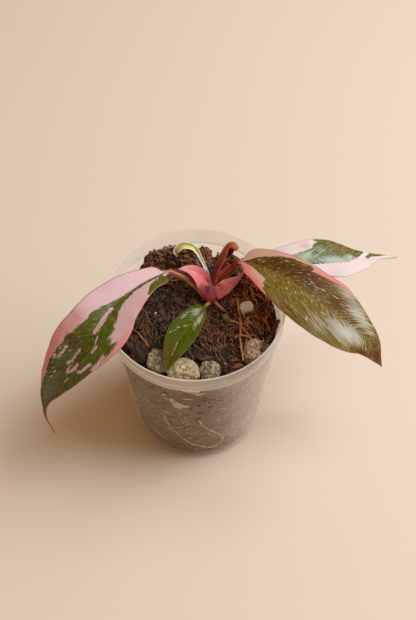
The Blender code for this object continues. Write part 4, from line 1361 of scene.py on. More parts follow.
@dataclass
class Crown:
    """The short stem, the rolled new leaf that stands out of it and the young root at its foot."""

    # Heights of the stem with its radius and its middle, x and y
    profile: tuple = (
        (82.0, 2.6, 9.3, 14.6), (91.0, 2.8, 9.3, 14.6), (95.3, 3.4, 9.0, 14.4), (95.9, 4.0, 9.0, 14.3),
        (96.5, 3.8, 9.0, 14.2), (98.5, 5.2, 8.8, 14.4), (100.0, 5.6, 8.6, 15), (101.4, 5.0, 8.7, 15.8),
        (102.8, 3.6, 8.9, 16.8), (104.2, 1.6, 9.1, 17.6),
    )
    ring_height: float = 96.0
    rows: int = 90
    sides: int = 64
    flutes: int = 5
    # The stem darkens to its top, partly its own deep crimson and partly painted shade of the heart that the
    # leaves close over
    flesh: FleshFinish = FleshFinish(
        "waxy_crown_flesh", foot="#a02838", middle="#ac2232", tip="#7c1018", streak="#cc5c62", rim="#e8c8b4",
        inner="#8c1c24", turning=(0.35, 0.5), streaks=0.35, roughness=0.5, coat=0.0,
    )
    roll_path: tuple = (
        (9.4, 18.4, 100), (10.3, 21.8, 103.8), (12.1, 24, 107.4), (14, 25.2, 111), (16.6, 26.4, 117),
        (18.7, 27.2, 122.3), (20.3, 27.4, 126.2), (22, 26.8, 127.6), (23.4, 25.4, 126.4),
    )
    roll_radius: tuple = (2.4, 2.7, 3.0, 3.3, 3.4, 3.5, 3.4, 2.9, 1.8)
    # How far the sheet is wound, in degrees, from its outer margin, and how far it draws in on the way
    roll_wound: tuple = (430, 430, 430, 420, 400, 350, 290, 240, 210)
    roll_margin: float = 30.0
    roll_drawn_in: float = 0.36
    roll_wall: float = 0.7
    roll_points: int = 44
    roll_rows: int = 90
    roll_flesh: FleshFinish = FleshFinish(
        "waxy_rolled_leaf", foot="#5c0810", middle="#8c2c18", tip="#ac4a1c", streak="#c07444", rim="#d89c88",
        inner="#a84c2c", turning=(0.35, 0.6), streaks=0.4, roughness=0.46, coat=0.04,
    )
    root_run: tuple = ((9.6, 13, 97.4), (11.8, 9.6, 98.2), (13.9, 7.2, 98), (16.1, 5.7, 96.6),
                       (17.8, 5.4, 94), (18.4, 5.2, 90))
    root_radius: float = 0.9
    root_points: int = 30
    root_flesh: StrawFinish = StrawFinish("young_aerial_root", "#b0705c", "#7c2c34", 5.0)

    # The withered end of the dried sheath
    tip_run: tuple = ((-5.5, 34.8, 119.2), (-9.4, 34.4, 119.3), (-13.6, 33.8, 118.4))
    tip_radius: float = 0.75
    tip_taper: float = 0.035
    tip_points: int = 16
    tip_flesh: StrawFinish = StrawFinish("withered_tip", "#c4b0b0", "#80686c", 3.0)

    def build(self) -> None:
        """Builds the stem, the rolled leaf, the young root and the dried sheath's withered end."""
        self.build_stem()
        self.build_roll()
        count = self.root_points
        radii = [self.root_radius * (1 - 0.45 * i / (count - 1)) * (1 + 0.08 * math.sin(2.1 * i))
                 for i in range(count)]
        root = cords("aerial_root_skin", [(spline(self.root_run, count), radii)], self.root_flesh.dress(), 3)
        placed(root, "crown_red", "aerial_root")
        count = self.tip_points
        radii = [self.tip_radius - self.tip_taper * i for i in range(count)]
        tip = cords("dried_tip", [(spline(self.tip_run, count), radii)], self.tip_flesh.dress(), 2)
        placed(tip, "dried_sheath")

    def skin(self, name: str, rings: list, rows: list, flesh: FleshFinish) -> bpy.types.Object:
        """A skin of living flesh through rings of points.

        Args:
            name: Its name.
            rings: Its rings of points.
            rows: For each point its spread along and across, its side, place, rim and under.
            flesh: Its finish.

        Returns:
            The object.
        """
        *spread, place, rim, under = np.array(rows).T
        layers = {"spread": np.column_stack(spread), "place": place, "rim": rim, "under": under}
        return ring_skin(name, rings, layers, flesh.dress())

    def build_stem(self) -> None:
        """The stem, swollen and fluted where the leaves grow from it."""
        rings = []
        table = []
        heights, *sizes = np.array(self.profile).T
        for row in range(self.rows):
            place = row / (self.rows - 1)
            height = heights[0] + (heights[-1] - heights[0]) * place
            radius, x, y = (float(np.interp(height, heights, size)) for size in sizes)
            ring = []
            for side in range(self.sides):
                turn = math.tau * side / self.sides
                wave = abs(math.sin(self.flutes / 2 * turn + 3 * place))
                fold = 1 - 0.16 * (1 - wave) ** 3 * clamped((height - self.ring_height) / 3)
                out = Vector((math.cos(turn), math.sin(turn), 0)) * radius * fold
                ring.append(Vector((x, y, height)) + out)
                edge = math.exp(-((height - self.ring_height) / 0.35) ** 2)
                table.append((height, radius * turn, 0.0, place, edge, 0.0))
            rings.append(ring)
        placed(self.skin("crown_skin", rings, table, self.flesh), "crown_red", "crown")

    def build_roll(self) -> None:
        """The rolled leaf: a thin sheet wound round its own axis as a spiral, open at the top."""
        points = spline(self.roll_path, self.roll_rows)
        ways = tangents(points)
        step = (points[1] - points[0]).length
        rings = []
        table = []
        for row, (centre, way) in enumerate(zip(points, ways)):
            place = row / (self.roll_rows - 1)
            across, above = aside(way)
            radius = eased(self.roll_radius, place)
            wound = eased(self.roll_wound, place)
            ring = []
            for inner in (0, 1):
                shares = [i / (self.roll_points - 1) for i in range(self.roll_points)]
                for share in shares[::-1] if inner else shares:
                    turn = math.radians(self.roll_margin + wound * share)
                    wall = self.roll_wall * (1 - 0.5 * abs(2 * share - 1) ** 3)
                    reach = radius * (1 + 0.02 * math.sin(9 * turn)) - wall * inner
                    reach -= self.roll_drawn_in * radius * share * clamped((wound - 240) / 120)
                    ring.append(centre + (across * math.cos(turn) + above * math.sin(turn)) * reach)
                    rim = max(0.0, abs(2 * share - 1) - 0.86) / 0.14
                    table.append((row * step, radius * turn, 30 * inner, place, rim, inner))
            rings.append(ring)
        skin = self.skin("new_leaf_skin", rings, table, self.roll_flesh)
        placed(skin, "new_leaf_red", "new_leaf_rolled")


@dataclass
class Pot:
    """A clear nursery pot: one profile turned round the axis, with a collar band and drain holes."""

    rim_radius: float = 50.0
    height: float = 115.0
    foot_radius: float = 38.5
    wall_top_radius: float = 47.4
    band_foot_radius: float = 49.2
    band_foot: float = 102.5
    wall: float = 1.0
    floor: float = 1.5
    steps: int = 180
    drain_radius: float = 3.5
    drain_circle: float = 22.0
    drains: int = 6
    plastic: PlasticFinish = PlasticFinish()

    def inner_radius(self, height: float) -> float:
        """The inner radius where the wall is straight, under the band.

        Args:
            height: Height above the foot, in millimetres.

        Returns:
            The radius in millimetres.
        """
        foot = self.foot_radius - self.wall
        top = self.wall_top_radius - self.wall
        return foot + (top - foot) * min(height, self.band_foot) / self.band_foot

    def wall_point(self, turn: float, height: float, sunk: float) -> Vector:
        """A point beside the wall's inner face, sunk into the mix, at degrees round the pot."""
        return round_axis(self.inner_radius(height) - sunk, turn, height)

    def build(self) -> None:
        """Turns the profile and drills the drain holes."""
        foot, rim, top, band = self.foot_radius, self.rim_radius, self.height, self.band_foot
        outer_band, wall = self.band_foot_radius, self.wall_top_radius
        profile = (
            (0, 0), (foot - 4, 0), (foot - 2.8, 0.2), (foot - 1.7, 0.7), (foot - 0.95, 1.3),
            (foot - 0.4, 2.2), (foot, 3.3), (foot + 0.4, 4.5), (foot + 0.49, 5.5), (wall - 0.09, band - 1.9),
            (wall, band - 0.9), (wall + 0.5, band - 0.6), (outer_band - 0.3, band - 0.1),
            (outer_band, band + 0.3), (outer_band + 0.06, band + 1.2), (rim - 0.16, top - 2),
            (rim - 0.1, top - 1.2), (rim, top - 0.6), (rim - 0.12, top - 0.2), (rim - 0.4, top),
            (rim - 0.8, top), (rim - 1.05, top - 0.25), (rim - 1.15, top - 0.7), (rim - 1.2, top - 1.6),
            (outer_band - 0.94, band + 2.4), (outer_band - 1, band + 1.5), (outer_band - 1.5, band + 0.5),
            (wall - 1, band - 0.2), (self.inner_radius(band - 1.4), band - 1.4), (self.inner_radius(7), 7),
            (self.inner_radius(6), 6), (foot - 1, 4.2), (foot - 1.6, 3.2), (foot - 2.4, 2.2),
            (foot - 3.6, self.floor), (0, self.floor),
        )
        pot = new_object("pot_moulding", turned(profile, self.steps), self.plastic.dress())
        drills = bmesh.new()
        for index in range(self.drains):
            place = round_axis(self.drain_circle, 360 * index / self.drains, 0) * MM
            bmesh.ops.create_cone(drills, cap_ends=True, segments=32, radius1=self.drain_radius * MM,
                                  radius2=self.drain_radius * MM, depth=6 * self.floor * MM,
                                  matrix=Matrix.Translation(place))
        drill = new_object("drills", drills, pot.data.materials[0])
        cut = pot.modifiers.new("drains", "BOOLEAN")
        cut.operation = "DIFFERENCE"
        cut.solver = "EXACT"
        cut.object = drill
        bpy.context.view_layer.update()
        found = pot.evaluated_get(bpy.context.evaluated_depsgraph_get())
        data = bpy.data.meshes.new_from_object(found)
        pot.modifiers.clear()
        pot.data = data
        bpy.data.objects.remove(drill, do_unlink=True)
        placed(pot, "clear_pot", "pot")


@dataclass(frozen=True)
class Scraps:
    """Many small loose pieces of one kind on the mix.

    Size is the least and most of a piece in millimetres, stretch its three proportions, middle and
    spread where the pieces lie, as x and y, and sink how far they lie in.
    """

    name: str
    slot: str
    finish: BarkFinish | PumiceFinish
    count: int
    size: tuple[float, float]
    stretch: tuple
    middle: tuple = (0, 0)
    spread: tuple = (45, 45)
    sink: float = 0.2
    faces: int = 2


@dataclass(frozen=True)
class Threads:
    """Many thin fibres of one kind that lie in and on the mix: how many, how long, how thick."""

    name: str
    finish: StrawFinish
    count: int
    length: tuple[float, float]
    radius: tuple[float, float]
    middle: tuple = (0, 0)
    spread: tuple = (44, 44)
    bend: float = 0.5
    lift: float = 1.2
    heading: float | None = None
    steps: int = 9


@dataclass
class PottingMix:
    """The mix: a filled body with a rough top, and the scraps, fibres and grit that lie on it."""

    pot: Pot
    gap: float = 0.35
    level: float = 94.0
    crumb: float = 9.0
    crumb_height: float = 1.6
    steps: int = 240
    rings: int = 84
    most: float = 45.2
    # Banks of the mix: middle x and y, spread along x and y, rise
    banks: tuple = (
        (-16, 37, 17, 9, 8.0), (5, 38, 9, 7, 5.0), (-30, 14, 10, 14, 2.5), (12, -40, 30, 6, 1.0),
        (9, 15, 7, 7, 1.2), (38, 4, 8, 12, 1.5), (-32, -18, 10, 14, 1.5), (6, -27, 11, 3.5, -1.8),
    )
    peat: PeatFinish = PeatFinish()
    scrap_swell: float = 0.45
    scrap_knobs: float = 1.3
    scraps: tuple = (
        Scraps("peat_crumbs", "peat", BarkFinish("peat_crumb", "#180e08", "#5a3a24", "#a8744c", 0.45),
               900, (0.5, 1.7), (1, 0.8, 0.7)),
        Scraps("peat_clods", "peat", BarkFinish("peat_clod", "#1c120c", "#6c4830", "#b8865c", 0.5),
               130, (1.8, 3.4), (1, 0.85, 0.6), (-14, 14), (20, 20), 0.6),
        Scraps("bark_chips", "bark", BarkFinish("bark_chip", "#24120a", "#8c4a28", "#d08c58", 0.6),
               300, (1.2, 3.8), (1, 0.5, 0.25), (21, 6), (24, 27), 0.1),
        Scraps("bark_chips_left", "bark",
               BarkFinish("bark_chip_left", "#24120a", "#8c5030", "#cc9868", 0.65),
               130, (1.0, 3.2), (1, 0.5, 0.25), (-33, 4), (9, 22)),
        Scraps("bark_splinters", "bark", BarkFinish("bark_splinter", "#3c180c", "#cc6c3a", "#f8b480", 0.7),
               26, (3.0, 5.5), (1, 0.4, 0.3), (25, 15), (6, 9), 0.3),
        Scraps("grit", "pumice", PumiceFinish("pumice_grit", "#a08c6c", "#cbb894", "#6c5236", 0.4),
               46, (0.5, 1.3), (1, 0.9, 0.8), faces=1),
    )
    threads: tuple = (
        Threads("coir_dark", StrawFinish("coir_dark", "#6c4028", "#2a160c"), 240, (6, 17), (0.12, 0.24)),
        Threads("coir_tan", StrawFinish("coir_tan", "#c89060", "#74482a"), 170, (6, 18), (0.12, 0.22),
                (10, -2), (34, 34), 0.7, 2.0),
        Threads("coir_orange", StrawFinish("coir_orange", "#e89c60", "#ac663a"), 60, (9, 22), (0.28, 0.6),
                (34, 2), (10, 26), 0.25, 1.8, 115),
        Threads("coir_left", StrawFinish("coir_left", "#b0784a", "#5c341c"), 36, (9, 20), (0.2, 0.4),
                (-32, -8), (10, 24), 0.25, 1.6, 118),
    )
    # Roots and grit that press on the wall: degrees round the pot and heights
    wall_runs: tuple = (
        ((-117, 35), (-111, 41), (-104, 44), (-98, 50), (-94, 52), (-88, 47)),
        ((-100, 57), (-97, 52), (-94, 49)), ((-101, 36), (-95, 37), (-88, 41)),
        ((-137, 23), (-131, 21), (-125, 20), (-118, 16)), ((-57, 42), (-60, 34), (-62, 22)),
        ((-100, 39), (-98, 44), (-95, 46)), ((-30, 70), (-22, 60), (-10, 55), (0, 48)),
        ((60, 70), (75, 58), (92, 50), (105, 52)), ((120, 30), (140, 26), (155, 34)),
    )
    rootlet: float = 0.55
    rootlet_sunk: float = 0.6
    rootlet_points: int = 26
    # Pale grit on the wall: degrees, height, half width along and up
    wall_grit: tuple = (
        (-107, 81, 3.2, 2.6), (-102, 76, 4.2, 3.6), (-113, 61, 1.9, 1.5), (-94, 95, 4.4, 1.2),
        (-86, 93, 3.0, 1.4), (-96, 85, 3.6, 1.1), (-70, 67, 1.4, 1.2), (-61, 63, 1.0, 0.8),
        (-41, 31, 1.8, 1.5), (-56, 20, 2.0, 1.4), (-43, 72, 1.6, 1.4), (-114, 84, 1.5, 1.8),
        (-30, 43, 2.0, 1.6), (20, 60, 2.4, 2.0), (60, 40, 3.0, 2.2), (110, 75, 2.6, 2.4),
        (150, 50, 2.2, 2.0), (-160, 66, 2.0, 1.8), (-150, 36, 1.6, 1.4), (95, 20, 2.2, 1.6),
        (-5, 80, 2.0, 1.4),
    )
    # Radius by which a wide piece of grit follows the wall
    grit_bend: float = 42.0

    def level_at(self, x: float, y: float) -> float:
        """The height of the mix's top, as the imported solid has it.

        Args:
            x: Millimetres to the right.
            y: Millimetres to the back.

        Returns:
            The height in millimetres.
        """
        height = self.level
        for middle_x, middle_y, spread_x, spread_y, rise in self.banks:
            away = ((x - middle_x) / spread_x) ** 2 + ((y - middle_y) / spread_y) ** 2
            height += rise * math.exp(-away)
        height += self.crumb_height * noise.noise(Vector((x, y, 0)) / self.crumb)
        return height + 0.5 * self.crumb_height * noise.noise(Vector((y, x, 40)) / (0.45 * self.crumb))

    def fine_level(self, x: float, y: float) -> float:
        """The height of the mix's top with its small clods and hollows."""
        clods = 0.9 * noise.noise(Vector((x, y, 7)) / 3.1) + 0.5 * noise.noise(Vector((x, y, 3)) / 1.3)
        return self.level_at(x, y) + clods - 0.2

    def build(self) -> None:
        """Builds the body, then what lies on it and at the wall."""
        self.build_body()
        for kind in self.scraps:
            whole = fused(self.strewn(kind), kind.faces, self.scrap_swell, self.scrap_knobs)
            placed(new_object(kind.name, whole, kind.finish.dress(), smooth=False), kind.slot)
        for kind in self.threads:
            self.build_threads(kind)
        self.build_wall_bits()

    def build_body(self) -> None:
        """The body: the pot's inner shape with a rough top."""
        floor = self.pot.floor + self.gap
        foot = self.pot.foot_radius - 4 - self.gap
        shape = [(0, floor), (foot, floor), (foot + 1.2, floor + 0.7), (foot + 2, floor + 2)]
        shape += [(self.pot.inner_radius(z) - self.gap, z) for z in range(7, 93, 3)]
        edge = self.pot.inner_radius(self.level) - self.gap
        shape += [(edge * (self.rings - ring) / self.rings, self.level) for ring in range(self.rings + 1)]
        mesh = turned(shape, self.steps)
        wall = mesh.verts.layers.float.new("wall")
        for vertex in mesh.verts:
            x, y, z = vertex.co / MM
            if z > self.level - 1:
                vertex.co.z = self.fine_level(x, y) * MM
                vertex[wall] = max(0.0, math.hypot(x, y) - edge + 0.4) / 0.4
            else:
                vertex[wall] = 1.0
        body = new_object("mix_body", mesh, self.peat.dress())
        placed(body, "peat", "substrate")

    def spot(self, middle: tuple, spread: tuple) -> tuple[float, float]:
        """A random place on the mix within an oval region.

        Args:
            middle: The region's middle, x and y.
            spread: How far it reaches along x and y.

        Returns:
            The place, x and y.
        """
        while True:
            x = random.uniform(-1, 1)
            y = random.uniform(-1, 1)
            place = (middle[0] + x * spread[0], middle[1] + y * spread[1])
            if x * x + y * y <= 1 and math.hypot(*place) < self.most - 1.5:
                return place

    def strewn(self, kind: Scraps) -> Iterable[tuple]:
        """The loose pieces of one kind, one after another.

        Args:
            kind: The kind.

        Returns:
            Place, proportions, size, turn and start of the grain of each piece, in turn.
        """
        for index in range(kind.count):
            x, y = self.spot(kind.middle, kind.spread)
            size = random.uniform(*kind.size) * random.uniform(0.6, 1)
            turn = Euler((random.uniform(-0.5, 0.5), random.uniform(-0.5, 0.5), random.uniform(0, 6.3)))
            rise = self.fine_level(x, y) + size * kind.stretch[2] * (1 - kind.sink) * 0.6
            yield Vector((x, y, rise)), kind.stretch, size, turn, Vector((index * 3.1, x, y))

    def build_threads(self, kind: Threads) -> None:
        """Lays one kind of fibres over the mix, fused as one mesh.

        Args:
            kind: The kind.
        """
        runs = []
        for _ in range(kind.count):
            x, y = self.spot(kind.middle, kind.spread)
            length = random.uniform(*kind.length)
            heading = (random.uniform(0, math.tau) if kind.heading is None
                       else math.radians(kind.heading + random.gauss(0, 22)))
            bend = random.gauss(0, kind.bend)
            lift = random.uniform(0.1, kind.lift)
            points = []
            for step in range(kind.steps):
                if math.hypot(x, y) > self.most:
                    break
                arch = lift * math.sin(math.pi * step / (kind.steps - 1)) + 0.25
                points.append(Vector((x, y, self.fine_level(x, y) + arch)))
                heading += bend * 0.5 + random.gauss(0, kind.bend * 0.35)
                x += math.cos(heading) * length / kind.steps
                y += math.sin(heading) * length / kind.steps
            count = len(points)
            if count < 4:
                continue
            radius = random.uniform(*kind.radius)
            runs.append((points, [radius * (1 - 0.4 * abs(2 * i / count - 1)) for i in range(count)]))
        placed(cords(kind.name, runs, kind.finish.dress()), "straw")

    def build_wall_bits(self) -> None:
        """The fine roots and pale grit that show through the wall."""
        thick, count = self.rootlet, self.rootlet_points
        radii = [thick * (1 - 0.4 * abs(2 * i / (count - 1) - 1)) for i in range(count)]
        runs = []
        for places in self.wall_runs:
            points = spline([self.pot.wall_point(*place, thick) for place in places], count)
            points = [self.pot.wall_point(math.degrees(math.atan2(p.y, p.x)), p.z, self.rootlet_sunk)
                      for p in points]
            runs.append((points, radii))
        root = StrawFinish("fine_root", "#c8b46c", "#9c8c4c", 6.0)
        placed(cords("wall_rootlets", runs, root.dress(), 1), "root")
        mesh = bmesh.new()
        grain = mesh.verts.layers.float_vector.new("grain")
        lobes = [(grit, lobe) for grit in self.wall_grit for lobe in range(round(1 + grit[2] + grit[3]))]
        for (turn, height, wide, tall), lobe in lobes:
            made = bmesh.ops.create_icosphere(mesh, subdivisions=3, radius=1.0)["verts"]
            centre = self.pot.wall_point(turn, height, 0.5)
            out = Vector((centre.x, centre.y, 0)).normalized()
            across = UP.cross(out)
            own = Vector((lobe * 4.7, height, turn))
            aside = random.gauss(0, 0.42) * wide
            higher = random.gauss(0, 0.42) * tall
            size = random.uniform(0.3, 0.62)
            for vertex in made:
                swell = 1 + 0.7 * noise.noise(vertex.co * 2 + own) + 0.3 * noise.noise(vertex.co * 5 + own)
                place = vertex.co * swell * size
                x = aside + place.x * wide
                z = higher + place.z * tall
                vertex[grain] = own + Vector((x, place.y, z))
                vertex.co = (centre + across * x + UP * z
                             + out * (min(0.35, place.y * 0.9) - x * x / (2 * self.grit_bend))) * MM
        grit = PumiceFinish("wall_grit", "#d8c4a4", "#e8dcc4", "#b89a74", 0.3)
        placed(new_object("wall_grit", mesh, grit.dress()), "pumice")


@dataclass(frozen=True)
class Lump:
    """A stone or a piece of bark: its centre, half axes, turns in degrees and roughness of form."""

    name: str
    centre: tuple
    half: tuple
    turn: tuple = (0, 0, 0)
    rough: float = 0.16
    finish: str = ""
    detail: int = 6
    faces: int = 0

    def rotation(self) -> Euler:
        """Its turn about the three axes."""
        return Euler([math.radians(angle) for angle in self.turn])


@dataclass
class Stones:
    """The pumice stones, pieces of bark and the seed that lie on the mix."""

    pumice: tuple = (
        Lump("pumice_front_left", (-20, -27.4, 97.5), (6.8, 7.4, 6.1), (8, 0, 15), finish="grey", faces=13),
        Lump("pumice_front", (-6.2, -33.6, 98), (9.2, 6.6, 6.1), (0, 5, -8), finish="cream", faces=15),
        Lump("pumice_front_right", (7.4, -34.8, 98), (5.9, 5.5, 5.7), (0, -8, 12), finish="grey", faces=11),
        Lump("pumice_right", (31, -21.6, 97), (5.3, 7.4, 5.9), (10, 6, -14), finish="tan", faces=12),
        Lump("pumice_small", (37.6, -18.2, 98), (2, 2.2, 2.3), (0, 20, 30), finish="grey", detail=5,
             faces=9),
        Lump("pumice_white", (29, 7.2, 96.3), (4.1, 3.4, 3.4), (0, 12, 20), 0.12, finish="white", faces=10),
    )
    bark: tuple = (
        Lump("bark_back_1", (-23.6, 32.1, 99.5), (7.5, 5, 3.4), (12, 0, 30), finish="mound"),
        Lump("bark_back_2", (-9, 38, 102), (9.5, 4.6, 3.4), (-14, 4, -8), finish="mound"),
        Lump("bark_back_3", (5, 36.6, 100.5), (5.6, 4.2, 3), (10, 10, -24), finish="mound"),
        Lump("bark_back_4", (-14, 27.6, 98), (7.5, 4, 3), (25, -6, 10), finish="mound"),
        Lump("bark_back_5", (14, 38, 98), (4.4, 3.2, 2.6), (20, 20, 30), finish="mound", detail=5),
        Lump("bark_back_6", (24, 34.4, 96), (3.8, 2.6, 2.2), (0, 25, -30), finish="mound", detail=5),
        Lump("bark_left_long", (-30.5, 1, 98), (8.5, 2.6, 2.2), (0, 6, 74), finish="red"),
        Lump("bark_left_front", (-32.6, -18, 98), (10.5, 4.4, 3.2), (14, 0, 118), finish="grained"),
        Lump("bark_left_small", (-25, 13, 97), (3.4, 2.6, 2.2), (0, 10, 20), finish="red", detail=5),
        Lump("bark_right_1", (21, 23.5, 97.5), (3.4, 3, 5.2), (18, 8, 15), finish="rust"),
        Lump("bark_right_2", (29, 24, 97), (2.6, 2.4, 5.8), (14, -8, 0), finish="rust"),
        Lump("bark_right_3", (39.6, 6, 96.5), (4.4, 3.4, 2.6), (0, 12, 60), finish="mound", detail=5),
        Lump("bark_front_flake", (21, -33, 97.5), (5.4, 2.4, 1.2), (20, 0, 16), finish="red", detail=5),
        Lump("bark_middle_flake", (5, -25, 95.4), (4.6, 2, 1.2), (-18, 8, -10), finish="red", detail=5),
    )
    seed: Lump = Lump("seed_bit", (17, 0.6, 96.2), (2, 2.6, 1.9), (0, 0, 25), 0.04, detail=5)
    # Banks of crumbs up the back wall: the places of their crest, and how many crumbs
    crests: tuple = (
        (((-28.4, 33, 104), (-27, 34.2, 111), (-24.6, 35.6, 113), (-19, 38.6, 112), (-11, 41.4, 110),
          (-2.4, 42.6, 107.6), (6, 42.4, 107.6), (9, 41.6, 103)), 640),
        (((13.4, 40.4, 104), (15.4, 40.2, 106.4), (17.2, 39.6, 103)), 16),
        (((19.6, 38.4, 104), (22.6, 37, 107), (25.4, 35.4, 103)), 80),
    )
    # Crumbs for each square millimetre of a piece's half axes, their proportions and form
    crumbs: float = 1.6
    crumb_stretch: tuple = (1, 0.8, 0.6)
    crumb_swell: float = 0.6
    crumb_knobs: float = 1.4
    most: float = 45.0
    mix_top: float = 98.0
    blunting: int = 14
    finishes: dict = field(default_factory=lambda: {
        "grey": PumiceFinish("pumice_grey", "#5e4c3a", "#c4ac8a", "#64462c", 0.6),
        "cream": PumiceFinish("pumice_cream", "#8c6c4a", "#ecd4a8", "#7c5836", 0.55, green=0.25),
        "tan": PumiceFinish("pumice_tan", "#7c5c40", "#dcbc92", "#6c4428", 0.65),
        "white": PumiceFinish("pumice_white", "#fff0d0", "#fffaf0", "#c8ac80", 0.2, green=0.1),
        "mound": BarkFinish("bark_mound", "#24150d", "#b07048", "#ecb488", 0.6, 1.3),
        "grained": BarkFinish("bark_long_grained", "#1a100a", "#64402a", "#a8704c", 0.4, 0.8),
        "red": BarkFinish("bark_red_brown", "#200f08", "#885034", "#cc9464", 0.55),
        "rust": BarkFinish("bark_rust", "#3c180c", "#cc6c3a", "#f8b480", 0.7),
    })

    def build(self) -> None:
        """Builds every stone and piece of bark."""
        made = {name: finish.dress() for name, finish in self.finishes.items()}
        for lump in self.pumice:
            self.build_lump(lump, made[lump.finish], "pumice", self.stone_relief)
        for lump in self.bark:
            self.build_lump(lump, made[lump.finish], "bark", self.bark_relief)
        husk = BarkFinish("seed_husk", "#5c3c1c", "#9c7440", "#c49c60", 0.3, 1.6)
        self.build_lump(self.seed, husk.dress(), "seed", self.seed_relief)
        self.build_crumbs(made["mound"])

    def stone_relief(self, place: Vector) -> float:
        """How far a stone's face stands out: chips, with pits between them.

        Args:
            place: The place, in millimetres.

        Returns:
            Millimetres outwards.
        """
        chips = 0.5 * noise.noise(place / 2.4) + 0.3 * noise.noise(place / 0.9)
        hole = noise.voronoi(place / 1.7)[0][0]
        return chips - 0.45 * max(0.0, 0.34 - hole) / 0.34

    def bark_relief(self, place: Vector) -> float:
        """How far bark stands out: plates along the grain, and cracks between them.

        Args:
            place: The place, in millimetres.

        Returns:
            Millimetres outwards.
        """
        plate = noise.noise(Vector((place.x / 6, place.y / 1.1, place.z / 1.1)))
        thin = noise.noise(Vector((place.x / 2.5, place.y / 0.5, place.z / 0.5 + 9)))
        knobs = noise.noise(place / 1.6)
        return 1.1 * plate + 0.4 * thin + 0.9 * knobs - 0.7 * max(0.0, 0.12 - abs(plate)) / 0.12

    def seed_relief(self, place: Vector) -> float:
        """The faint wrinkles of the seed's husk."""
        return 0.12 * noise.noise(place / 0.8)

    def build_lump(self, lump: Lump, material: Material, slot: str,
                   relief: Callable[[Vector], float]) -> None:
        """A rough closed lump: a ball pushed in and out by noise, stretched, given relief and turned.

        Args:
            lump: Its sizes.
            material: Its material.
            slot: Its slot in the record.
            relief: Gives how far the face stands out at a place of the lump.
        """
        mesh = bmesh.new()
        bmesh.ops.create_icosphere(mesh, subdivisions=lump.detail, radius=1.0)
        grain = mesh.verts.layers.float_vector.new("grain")
        own = Vector(lump.centre)
        half = Vector(lump.half)
        cuts = [Vector([random.gauss(0, 1) for _ in range(3)]).normalized() / random.uniform(0.78, 1.0)
                for _ in range(lump.faces)]
        for vertex in mesh.verts:
            knobs = noise.noise(vertex.co * 1.4 + own) + 0.6 * noise.noise(vertex.co * 3 + own)
            swell = 1 + lump.rough * knobs
            blunt = max(abs(axis) for axis in vertex.co) ** -0.3
            worn = sum(max(0.0, vertex.co.dot(cut)) ** self.blunting for cut in cuts)
            blunt /= (1 + worn) ** (1 / self.blunting)
            place = vertex.co * swell * blunt * half
            way = Vector(a / b for a, b in zip(vertex.co, half)).normalized()
            vertex[grain] = place + own
            vertex.co = (place + way * relief(place + own)) * MM
        mesh.transform(Matrix.Translation(own * MM) @ lump.rotation().to_matrix().to_4x4())
        placed(new_object(lump.name + "_skin", mesh, material), slot, lump.name)

    def build_crumbs(self, material: Material) -> None:
        """The crumbs that have broken off the mound's bark and lie on it, fused as one mesh.

        Args:
            material: Their material.
        """
        spots = []
        for lump in self.bark:
            turn = lump.rotation()
            count = self.crumbs * lump.half[0] * lump.half[1] if lump.finish == "mound" else 0
            for _ in range(round(count)):
                way = Vector((random.gauss(0, 1), random.gauss(0, 1), abs(random.gauss(0, 0.9))))
                spot = way.normalized() * Vector(lump.half) * random.uniform(0.98, 1.12)
                spot.rotate(turn)
                spots.append((spot + Vector(lump.centre), random.uniform(0.35, 1.3)))
        for crest, count in self.crests:
            tops = spline(crest, count)
            for top in tops:
                depth = random.random()
                inward = 1 - 0.06 * random.random() - 0.12 * depth * random.random()
                spot = Vector((top.x * inward, top.y * inward, top.z + (self.mix_top - top.z) * depth))
                spots.append((spot, random.uniform(0.7, 1.9) + 0.5 * depth))
        pieces = ((spot, self.crumb_stretch, size, Euler([random.uniform(0, 6.3) for _ in range(3)]), spot)
                  for spot, size in spots if math.hypot(spot.x, spot.y) <= self.most - size)
        whole = fused(pieces, 2, self.crumb_swell, self.crumb_knobs)
        placed(new_object("mound_crumbs", whole, material, smooth=False), "bark")


@dataclass
class Straws:
    """The four loose straws and twigs, with knots."""

    runs: tuple = (
        ("straw_long", ((23.6, 12.5, 98), (24.8, -1.5, 97.7), (24.9, -16, 98.1), (25.4, -28, 98.3)), 0.55,
         StrawFinish("straw_long", "#cc9460", "#8c5830")),
        ("straw_left", ((-37, -4, 99.5), (-31, -11, 100), (-25.5, -19, 99.5)), 0.55,
         StrawFinish("straw_left", "#cc7c40", "#743e1c")),
        ("twig_right", ((45.8, -4, 101.4), (42.8, -11.4, 100.6), (38.9, -17.4, 99.9), (35.6, -23, 99)), 1.3,
         StrawFinish("twig_right", "#6c4c36", "#2a1a10", 3.0)),
        ("twig_small", ((30.8, 2.4, 97.6), (33.2, -4, 98), (36.5, -12, 97.8)), 0.9,
         StrawFinish("twig_small", "#7c6450", "#3a2a20", 3.0)),
    )
    points: int = 60

    def build(self) -> None:
        """Builds the four, each wavering and thicker at its knots."""
        for name, places, radius, finish in self.runs:
            points = spline(places, self.points)
            radii = []
            for index, point in enumerate(points):
                waver = Vector((noise.noise(point / 3), noise.noise(point / 3 + Vector((9, 0, 0))), 0))
                points[index] = point + waver * 0.7
                knot = 0.35 * max(0.0, math.sin(index * 0.42 + radius * 7)) ** 8
                radii.append(radius * (0.85 + 0.2 * noise.noise(point / 1.5) + knot))
            placed(cords(name + "_skin", [(points, radii)], finish.dress(), 2), "straw", name)


